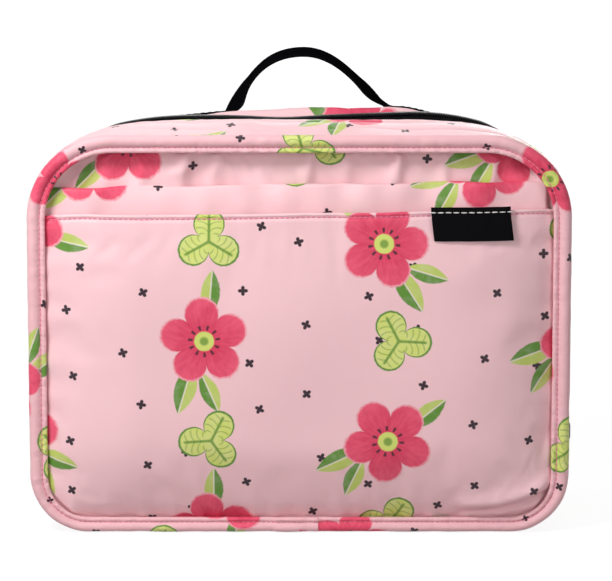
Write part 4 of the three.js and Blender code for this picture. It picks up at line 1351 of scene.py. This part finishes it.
class CASE_OT_linings(bpy.types.Operator):
    """Insulating film inside both shells, sewn in at the zip tape"""

    bl_idname = "case.linings"
    bl_label = "Linings"

    def execute(self, context):
        film = lining_film()
        s = np.linspace(0, RIM_LENGTH, 300, endpoint=False)
        for (half, side), floor in zip(HALVES, (29.3, 31.7)):
            points = lining_points(side, s, floor)
            across = lengths(points, 1)
            piece = mesh_piece(half + "_lining_film", points,
                               (np.append(s, RIM_LENGTH)[:, None], across[None, :]),
                               (True, False), flip=side > 0)
            close_middle(piece, points.shape)
            thicken(piece, LINING_CLOTH, 1.0, even=False)
            dress(piece, film, half + "_half", "lining_film", half + "_lining")
        return {"FINISHED"}


def close_middle(piece, shape):
    """Fills the last ring of a closed grid with a fan of faces."""
    rows, columns = shape[:2]
    ring = [i * columns + columns - 1 for i in range(rows)]
    old = piece.data
    points = [tuple(v.co) for v in old.vertices]
    faces = [list(p.vertices) for p in old.polygons]
    side = old.polygons[columns - 2].normal.y
    middle = len(points)
    points.append(tuple(np.mean([points[i] for i in ring], axis=0)))
    fan = [[a, b, middle] for a, b in zip(ring, ring[1:] + ring[:1])]
    p0, p1, p2 = (Vector(points[i]) for i in fan[0])
    if (p1 - p0).cross(p2 - p0).y * side < 0:
        fan = [face[::-1] for face in fan]
    mesh = bpy.data.meshes.new(old.name)
    mesh.from_pydata(points, [], faces + fan)
    mesh.shade_smooth()
    piece.data = mesh
    bpy.data.meshes.remove(old)


def zip_wave(s, y):
    """How far the zip stands out of its strip: fullest over the right, least left of the middle."""
    x, _, _, out_z = rim(s)
    wave = 1.7 * groove(x - 62, 36) - 1.1 * groove(x + 8, 16) - 0.1
    wave = wave * np.maximum(0, out_z) ** 4 - 1.7 * smooth((np.abs(x) - 84) / 14) * smooth(out_z / 0.3)
    return wave * (1 - smooth((np.abs(y) - 3.2) / 4))


TAPE_ROWS = (3.3, 4.6, 6.0, 7.5, 10.0, 12.5, 15.0)  # distances from the plane of the zip


class CASE_OT_zip(bpy.types.Operator):
    """Zip tapes and coil, and the metal of the slider and its pull"""

    bl_idname = "case.zip"
    bl_label = "Zip"

    def execute(self, context):
        tape_cloth = woven_black("Zip tape cloth", 0.0007, 1.0, 0.62)
        nylon = coil_material()
        for half, side in HALVES:
            self.tape(half, side, tape_cloth)
            self.coil(half, side, nylon, context.scene.case_sizes.coil_pitch)
        metal = slider_metal()
        for node in ("zip_slider", "zip_pull"):
            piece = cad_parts[node]
            piece.data.materials.clear()
            piece.data.materials.append(metal)
        return {"FINISHED"}

    def tape(self, half, side, cloth):
        s = np.linspace(ZIP_START, ZIP_STOP, 280)
        y = np.array(TAPE_ROWS)[None, :]
        out = swell(s[:, None], y) - TAPE_DEPTH + zip_wave(s[:, None], y)
        points = offset(s[:, None], side * y, out)
        tape = mesh_piece(half + "_zip_band", points,
                          (np.append(s, s[-1] + 1)[:, None], np.append(y, 16)[None, :]),
                          flip=side < 0)
        thicken(tape, WALL_CLOTH)
        dress(tape, cloth, half + "_half", "zip_tape", half + "_zip_tape")
        (ZIP_STOP - ZIP_START) * MM

    def coil(self, half, side, nylon, pitch):
        start = ZIP_START + SLIDER_ROOM + (pitch / MM / 2 if side > 0 else 0)
        run = np.linspace(start, ZIP_STOP - 1, 420)
        middle = side * COIL_MIDDLE
        lift = COIL_RISE * smooth(rim(run)[3] / 0.3) + zip_wave(run, middle)
        line = offset(run, middle, swell(run, middle) - COIL_DEPTH + lift)
        row = laid_along(half + "_zip_coil", [line], coil_tree, "Zip coil", Pitch=pitch,
                         Reach=COIL_REACH * MM, Height=COIL_HEIGHT * MM, Slant=COIL_SLANT * side,
                         Material=nylon)
        dress(row, nylon, half + "_half", "zip_chain", half + "_zip_chain")


# Handle: its line as (x, height) of straight and curved stretches
HANDLE_LINE = [
    [(-59, 0), (-51, 0), (-43, 0), (-35, 0)],
    [(-35, 0), (-27, 0), (-27, HANDLE_RISE), (2, HANDLE_RISE)],
    [(2, HANDLE_RISE), (24, HANDLE_RISE), (37, 0), (45, 0)],
    [(45, 0), (51, 0), (58, 0), (64, 0)],
]


def handle_line(count):
    """Evenly spaced points along the handle, and their distances."""
    line = []
    for p0, p1, p2, p3 in np.array(HANDLE_LINE, float):
        t = np.linspace(0, 1, 60)[:, None]
        line.append(p0 * (1 - t) ** 3 + 3 * p1 * t * (1 - t) ** 2 + 3 * p2 * t**2 * (1 - t) + p3 * t**3)
    line = np.concatenate(line)
    reach = reach_along(line)
    even = np.linspace(0, reach[-1], count)
    keep = np.concatenate([[True], np.diff(reach) > 0])
    return np.stack([np.interp(even, reach[keep], line[keep, k]) for k in (0, 1)], -1), even


def sewn_height(x, y):
    """Height of the cloth that the handle is sewn to."""
    crown = (RIM + TOP_LIFT) * (1 - (y / SEAM) ** 2) - RIM
    return HEIGHT + crown - settle(x, y, HEIGHT) + pull_up(x, y)


def web_section():
    """Webbing across its width: flat, with round edges."""
    half, thick = WEB_WIDTH / 2, WEB
    edge = thick / 2
    ring = [(w, 0.0) for w in np.linspace(-half + edge, half - edge, 13)]
    ring += [(half - edge + edge * math.sin(a), edge - edge * math.cos(a))
             for a in np.radians((40, 90, 140))]
    ring += [(w, thick) for w in np.linspace(half - edge, -half + edge, 13)]
    ring += [(-half + edge - edge * math.sin(a), edge + edge * math.cos(a))
             for a in np.radians((40, 90, 140))]
    return np.array(ring)


def web_points(line, ring):
    """The webbing's section carried along its line, flat on the cloth at both ends."""
    tangent = np.gradient(line, axis=0)
    tangent /= np.linalg.norm(tangent, axis=1)[:, None]
    up = np.stack([-tangent[:, 1], tangent[:, 0]], -1)
    twist = np.where(line[:, 0] < 0, LEFT_TWIST, RIGHT_TWIST) * groove(line[:, 1] - 4.5, 8)
    twist = (twist * smooth(line[:, 1] / 0.6))[:, None]
    width = ring[None, :, 0] * np.cos(twist)
    level = ring[None, :, 1] + (ring[None, :, 0] + WEB_WIDTH / 2 * up[:, 1, None] ** 2) * np.sin(twist)
    y = HANDLE_Y + width
    flatness = 1 - smooth(line[:, 1, None] / FREE_HEIGHT)
    root = sewn_height(np.array(LEFT_ROOT), HANDLE_Y)
    base = root + (sewn_height(line[:, 0, None], y) - root) * flatness + HANDLE_GAP
    x = line[:, 0, None] + up[:, 0, None] * level
    z = base + line[:, 1, None] + up[:, 1, None] * level
    return np.stack([x, np.broadcast_to(y, x.shape), z], -1)


class CASE_OT_handle(bpy.types.Operator):
    """Webbing handle: one length, sewn flat at both ends"""

    bl_idname = "case.handle"
    bl_label = "Handle"

    def execute(self, context):
        line, reach = handle_line(170)
        ring = web_section()
        points = web_points(line, ring)
        around = reach_along(ring)
        strap = mesh_piece("handle_strap", points, (np.append(reach, reach[-1] + 1)[:, None],
                                                    np.append(around, around[-1] + 1)[None, :]),
                           (False, True), flip=True, caps=True)
        dress(strap, woven_black("Handle webbing", 0.0016, 1.0, 0.58, 0.9, 0.0), None,
              "webbing", "handle_left_foot", "handle_loop", "handle_right_foot")
        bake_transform(strap)
        return {"FINISHED"}


def handle_stitch_lines():
    """A sewn box on each foot of the handle."""
    boxes = []
    for left, right in ((-56.5, -39), (49, 61.5)):
        corners = [(left, 13.5), (right, 13.5), (right, 34.5), (left, 34.5), (left, 13.5)]
        for (x0, y0), (x1, y1) in zip(corners[:-1], corners[1:]):
            t = np.linspace(0.02, 0.98, 12)
            x, y = x0 + (x1 - x0) * t, y0 + (y1 - y0) * t
            z = sewn_height(x, y) + HANDLE_GAP + WEB + 0.1
            boxes.append(np.stack([x, y, z], -1))
    return boxes


def tab_ring():
    """The folded tab from its side: distance down, and distance out."""
    fall = np.linspace(0, TAB_HEIGHT - TAB_FOLD, 14)
    ring = [(d, 0.85) for d in fall]
    ring += [(TAB_HEIGHT - TAB_FOLD + TAB_FOLD * math.sin(a), 0.42 + 0.43 * math.cos(a))
             for a in np.radians((30, 60, 90, 120, 150))]
    ring += [(d, 0.0) for d in fall[::-1]]
    return np.array(ring + [(-0.25, 0.25), (-0.3, 0.42), (-0.25, 0.6)])


def tab_points(across, ring):
    """The tab as it hangs on the short pocket, a little askew and curled."""
    drop, level = ring[None, :, 0], ring[None, :, 1]
    x = TAB_X + across[:, None] + 1.6 * (np.maximum(0, drop) / TAB_HEIGHT) ** 1.5
    pocket_cloth = bpy.data.objects["short_pocket_cloth"]
    ends = [np.stack([TAB_X + across, 0 * across - 80, 0 * across + TAB_TOP - d], -1)
            for d in (5, TAB_HEIGHT)]
    top, low = (laid_on(pocket_cloth, end)[:, 1, None] for end in ends)
    carry = top + (low - top) * np.maximum(0, drop) / TAB_HEIGHT
    bow = -0.35 * np.sin(math.pi * drop / TAB_HEIGHT) * smooth(drop / 3)
    curl = -1.1 * (drop / TAB_HEIGHT) ** 2 * (0.5 + 0.5 * across[:, None] / 20)
    y = carry - 0.35 - level + bow + curl
    z = TAB_TOP - drop + 0 * x
    return np.stack([x, y + 0 * x, z], -1)


class CASE_OT_tab(bpy.types.Operator):
    """Folded woven tab sewn to the short pocket's edge"""

    bl_idname = "case.tab"
    bl_label = "Woven tab"

    def execute(self, context):
        across = np.linspace(-TAB_WIDTH / 2, TAB_WIDTH / 2, 25)
        ring = tab_ring()
        reach = reach_along(ring)
        tab = mesh_piece("woven_tab_cloth", tab_points(across, ring),
                         (np.append(across, 21)[:, None], np.append(reach, reach[-1] + 1)[None, :]),
                         (False, True), caps=True)
        dress(tab, woven_black("Tab cloth", 0.0006, 2.0, 0.5, strength=0.35), "tab", "tab", "woven_tab")
        x = TAB_X + np.linspace(-17.6, 18.2, 20)
        line = np.stack([x, np.full_like(x, -60), np.full_like(x, TAB_TOP - 2.1)], -1)
        thread = sewn("tab_stitches", [laid_on(tab, line, 0.12)], thread_material(
            "Tab thread", context.scene.case_colours.tab_thread), pitch=1.45)
        dress(thread, None, "tab", "tab")
        return {"FINISHED"}


def pouch_faces():
    """Front and back of the gel pouch, as grids with a common border."""
    u, v = np.meshgrid(np.sin(np.linspace(-1, 1, 61) * math.pi / 2),
                       np.sin(np.linspace(-1, 1, 49) * math.pi / 2))
    x, z = PACK_WIDTH / 2 * u, PACK_BASE + PACK_HEIGHT * (v + 1) / 2
    edge = np.minimum(PACK_WIDTH / 2 - np.abs(x),
                      PACK_HEIGHT / 2 - np.abs(z - PACK_BASE - PACK_HEIGHT / 2))
    fill = np.sqrt(np.maximum(0, (1 - u**4) * (1 - v**4))) * smooth(edge / 7)
    pucker = 0.5 * (gathers(x, 91, 11) + gathers(z, 92, 11)) * smooth(edge / 4) * np.exp(-edge / 9)
    depth = 1.2 + (PACK_THICK - 1.8) * fill + pucker * 0.7 + 0.35 * fill * ripples(x, z, 93, 30)
    front = np.stack([x, PACK_BACK - depth, z], -1)
    return front, np.stack([x, np.full_like(x, PACK_BACK - 0.1), z], -1)


class CASE_OT_cold_pack(bpy.types.Operator):
    """Gel pouch and the net sleeve that holds it on the back lining"""

    bl_idname = "case.cold_pack"
    bl_label = "Cold pack and sleeve"

    def execute(self, context):
        front, back = pouch_faces()
        face = mesh_piece("gel_pouch", front)
        rear = mesh_piece("gel_pouch_rear", back, flip=True)
        shell = join_sheets("gel_pouch", face, rear, front.shape)
        dress(shell, gel_pouch(), "pack", "gel", "cold_pack")
        self.sleeve(context.scene.case_sizes.net_cell / MM)
        return {"FINISHED"}

    def sleeve(self, cell):
        wide, bottom = PACK_WIDTH / 2 + 3.3, PACK_BASE - 3
        columns = int(2 * (wide + SLEEVE_BORDER) / cell)
        rows = int((SLEEVE_TOP - bottom + SLEEVE_BORDER - 1) / cell)
        x, z = np.meshgrid(np.linspace(-wide - SLEEVE_BORDER, wide + SLEEVE_BORDER, columns + 1),
                           np.linspace(bottom - SLEEVE_BORDER + 1, SLEEVE_TOP, rows + 1))
        rise = (PACK_THICK + 0.7) * smooth((wide - np.abs(x)) / 5) * smooth((z - bottom) / 5)
        net = mesh_piece("pack_net", np.stack([x, LINING_FLOOR - 0.75 - rise, z], -1))
        strands = net.modifiers.new("Strands", "WIREFRAME")
        strands.thickness, strands.use_even_offset = 0.001, False
        strands.use_replace = strands.use_boundary = True
        dress(net, net_material(), "back_half", "net", "cold_pack_sleeve")


def join_sheets(name, first, second, shape):
    """Two grids with a common border, as one closed mesh."""
    rows, columns = shape[:2]
    body = bmesh.new()
    body.from_mesh(first.data)
    body.from_mesh(second.data)
    body.verts.ensure_lookup_table()
    ring = list(range(columns)) + [r * columns + columns - 1 for r in range(1, rows)]
    ring += [(rows - 1) * columns + c for c in range(columns - 2, -1, -1)]
    ring += [r * columns for r in range(rows - 2, 0, -1)]
    other = rows * columns
    for a, b in zip(ring, ring[1:] + ring[:1]):
        body.faces.new([body.verts[i] for i in (a, a + other, b + other, b)])
    bmesh.ops.recalc_face_normals(body, faces=body.faces)
    mesh = bpy.data.meshes.new(name)
    body.to_mesh(mesh)
    body.free()
    mesh.shade_smooth()
    for piece in (first, second):
        bpy.data.objects.remove(piece)
    return placed(name, mesh)


class CASE_OT_stitches(bpy.types.Operator):
    """Rows of stitching on the bound edges, along the zip, on the hem and on the handle"""

    bl_idname = "case.stitches"
    bl_label = "Stitching"

    def execute(self, context):
        colours = context.scene.case_colours
        pink = thread_material("Pink thread", colours.thread)
        x = np.linspace(-115.5, 115.5, 150)
        hem = np.stack([x, np.full_like(x, -80.0), hem_height(x) - HEM_STITCH + 0.05], -1)
        hem = laid_on(bpy.data.objects["short_pocket_cloth"], hem, 0.1)
        hem = hem[np.abs(hem[:, 0] - TAB_X - 0.2) > TAB_WIDTH / 2]
        left, right = hem[hem[:, 0] < TAB_X], hem[hem[:, 0] > TAB_X]
        front = [binding_stitch_line(-1), *gusset_stitch_lines(-1), left, right]
        back = [binding_stitch_line(1), *gusset_stitch_lines(1)]
        for half, lines in (("front", front), ("back", back)):
            thread = sewn(half + "_stitches", lines, pink)
            dress(thread, pink, half + "_half", "print_cloth")
        dark = thread_material("Black thread", [c + 0.01 for c in colours.black])
        feet = sewn("handle_stitches", handle_stitch_lines(), dark, pitch=1.2)
        dress(feet, dark, "back_half", "webbing")
        return {"FINISHED"}


# Stage

WORLD_FILL = 0.22  # strength of the white surroundings as light
FLOOR_CLEAR = 0.5  # the floor lets this share through, so that the opened lid is seen below it
EYE_DISTANCE, EYE_HEIGHT, EYE_LENS = 2.0, 11.61, 246.9
EYE_TARGET = Vector((0.0031, 0.0, 0.1081))
FLOOR_REACH, FLOOR_LEVEL = 8.0, -0.0004
LIGHT_TARGET = Vector((0.0, 0.0, 0.1))
SOFTBOXES = (  # name, place, size and power
    ("Key softbox", (-0.3, -0.36, 0.58), 0.18, 3.1),
    ("Top softbox", (0.05, 0.3, 1.5), 1.0, 2.0),
    ("Left softbox", (-1.6, -1.3, 0.6), 0.6, 10.0),
    ("Right softbox", (1.3, -1.7, 0.5), 1.0, 9.5),
    ("Back softbox", (0.5, 2.2, 0.7), 1.2, 24.0))


def seen_directly(t):
    """1 on rays from the camera and on those that gloss or glass sends on."""
    path = t.add("ShaderNodeLightPath").outputs
    seen = t.number(path["Is Camera Ray"]).math("MAXIMUM", path["Is Glossy Ray"])
    return seen.math("MAXIMUM", path["Is Transmission Ray"])


class CASE_OT_stage(bpy.types.Operator):
    """Floor, soft lights and camera"""

    bl_idname = "case.stage"
    bl_label = "Stage"

    def execute(self, context):
        scene = context.scene
        scene.view_settings.view_transform = "Standard"
        self.camera(scene)
        self.floor()
        self.lights(scene)
        return {"FINISHED"}

    def camera(self, scene):
        lens = bpy.data.cameras.new("Camera")
        lens.lens, lens.sensor_width = EYE_LENS, 36.0
        lens.clip_start, lens.clip_end = 0.05, 50.0
        eye = placed("Camera", lens)
        tilt = math.radians(EYE_HEIGHT)
        back = Vector((0.0, -math.cos(tilt), math.sin(tilt)))
        eye.location = EYE_TARGET + back * EYE_DISTANCE
        eye.rotation_euler = (-back).to_track_quat("-Z", "Y").to_euler()
        scene.camera = eye

    def floor(self):
        mesh = bpy.data.meshes.new("floor")
        corners = [(x * FLOOR_REACH, y * FLOOR_REACH, FLOOR_LEVEL)
                   for x, y in ((-1, -1), (1, -1), (1, 1), (-1, 1))]
        mesh.from_pydata(corners, [], [(0, 1, 2, 3)])
        floor = placed("floor", mesh)
        material, t, shader = new_material("Pale floor")
        finish_shader(t, shader, Base_Color=(0.42, 0.42, 0.42, 1.0), Roughness=0.9,
                      Specular_IOR_Level=0.0)
        t.put(shader.inputs["Emission Color"], (1.0, 1.0, 1.0, 1.0))
        t.put(shader.inputs["Emission Strength"], seen_directly(t) * 0.78)
        path = t.add("ShaderNodeLightPath").outputs
        clear = t.number(path["Is Camera Ray"]).math("MAXIMUM", path["Is Shadow Ray"]) * FLOOR_CLEAR
        through = t.add("ShaderNodeMixShader", {0: clear, 1: shader.outputs[0],
                                                2: t.add("ShaderNodeBsdfTransparent").outputs[0]})
        t.put(material.node_tree.nodes["Material Output"].inputs[0], through.outputs[0])
        mesh.materials.append(material)

    def lights(self, scene):
        world = bpy.data.worlds.new("Studio")
        world.use_nodes = True
        scene.world = world
        t = Tree(world.node_tree)
        back = world.node_tree.nodes["Background"]
        back.inputs["Color"].default_value = (1.0, 1.0, 1.0, 1.0)
        t.put(back.inputs["Strength"], seen_directly(t) * (1 - WORLD_FILL) + WORLD_FILL)
        for name, place, size, power in SOFTBOXES:
            lamp = bpy.data.lights.new(name, "AREA")
            lamp.shape, lamp.size, lamp.energy = "SQUARE", size, power
            light = placed(name, lamp)
            light.location = place
            aim = LIGHT_TARGET - Vector(place)
            light.rotation_euler = aim.to_track_quat("-Z", "Y").to_euler()


STEPS = (CASE_OT_stage, CASE_OT_bindings, CASE_OT_side_walls, CASE_OT_panels, CASE_OT_pockets,
         CASE_OT_hinge_strip, CASE_OT_linings, CASE_OT_zip, CASE_OT_handle, CASE_OT_tab,
         CASE_OT_cold_pack, CASE_OT_stitches)


class CASE_PT_build(bpy.types.Panel):
    """Steps that build the case, and its sizes and colours"""

    bl_idname = "CASE_PT_build"
    bl_label = "Insulated case"
    bl_space_type = "VIEW_3D"
    bl_region_type = "UI"
    bl_category = "Case"

    def draw(self, context):
        layout = self.layout
        for step in STEPS:
            layout.operator(step.bl_idname)
        for values in (context.scene.case_sizes, context.scene.case_colours):
            column = layout.column()
            for name in values.bl_rna.properties.keys():
                if name not in {"rna_type", "name"}:
                    column.prop(values, name)


CLASSES = (CaseSizes, CaseColours, *STEPS, CASE_PT_build)


def register():
    for cls in CLASSES:
        bpy.utils.register_class(cls)
    bpy.types.Scene.case_sizes = PointerProperty(type=CaseSizes)
    bpy.types.Scene.case_colours = PointerProperty(type=CaseColours)


def unregister():
    del bpy.types.Scene.case_sizes
    del bpy.types.Scene.case_colours
    for cls in reversed(CLASSES):
        bpy.utils.unregister_class(cls)


def main():
    register()
    for step in STEPS:
        group_name, name = step.bl_idname.split(".")
        getattr(getattr(bpy.ops, group_name), name)()
    bpy.context.view_layer.update()


if __name__ == "__main__":
    main()
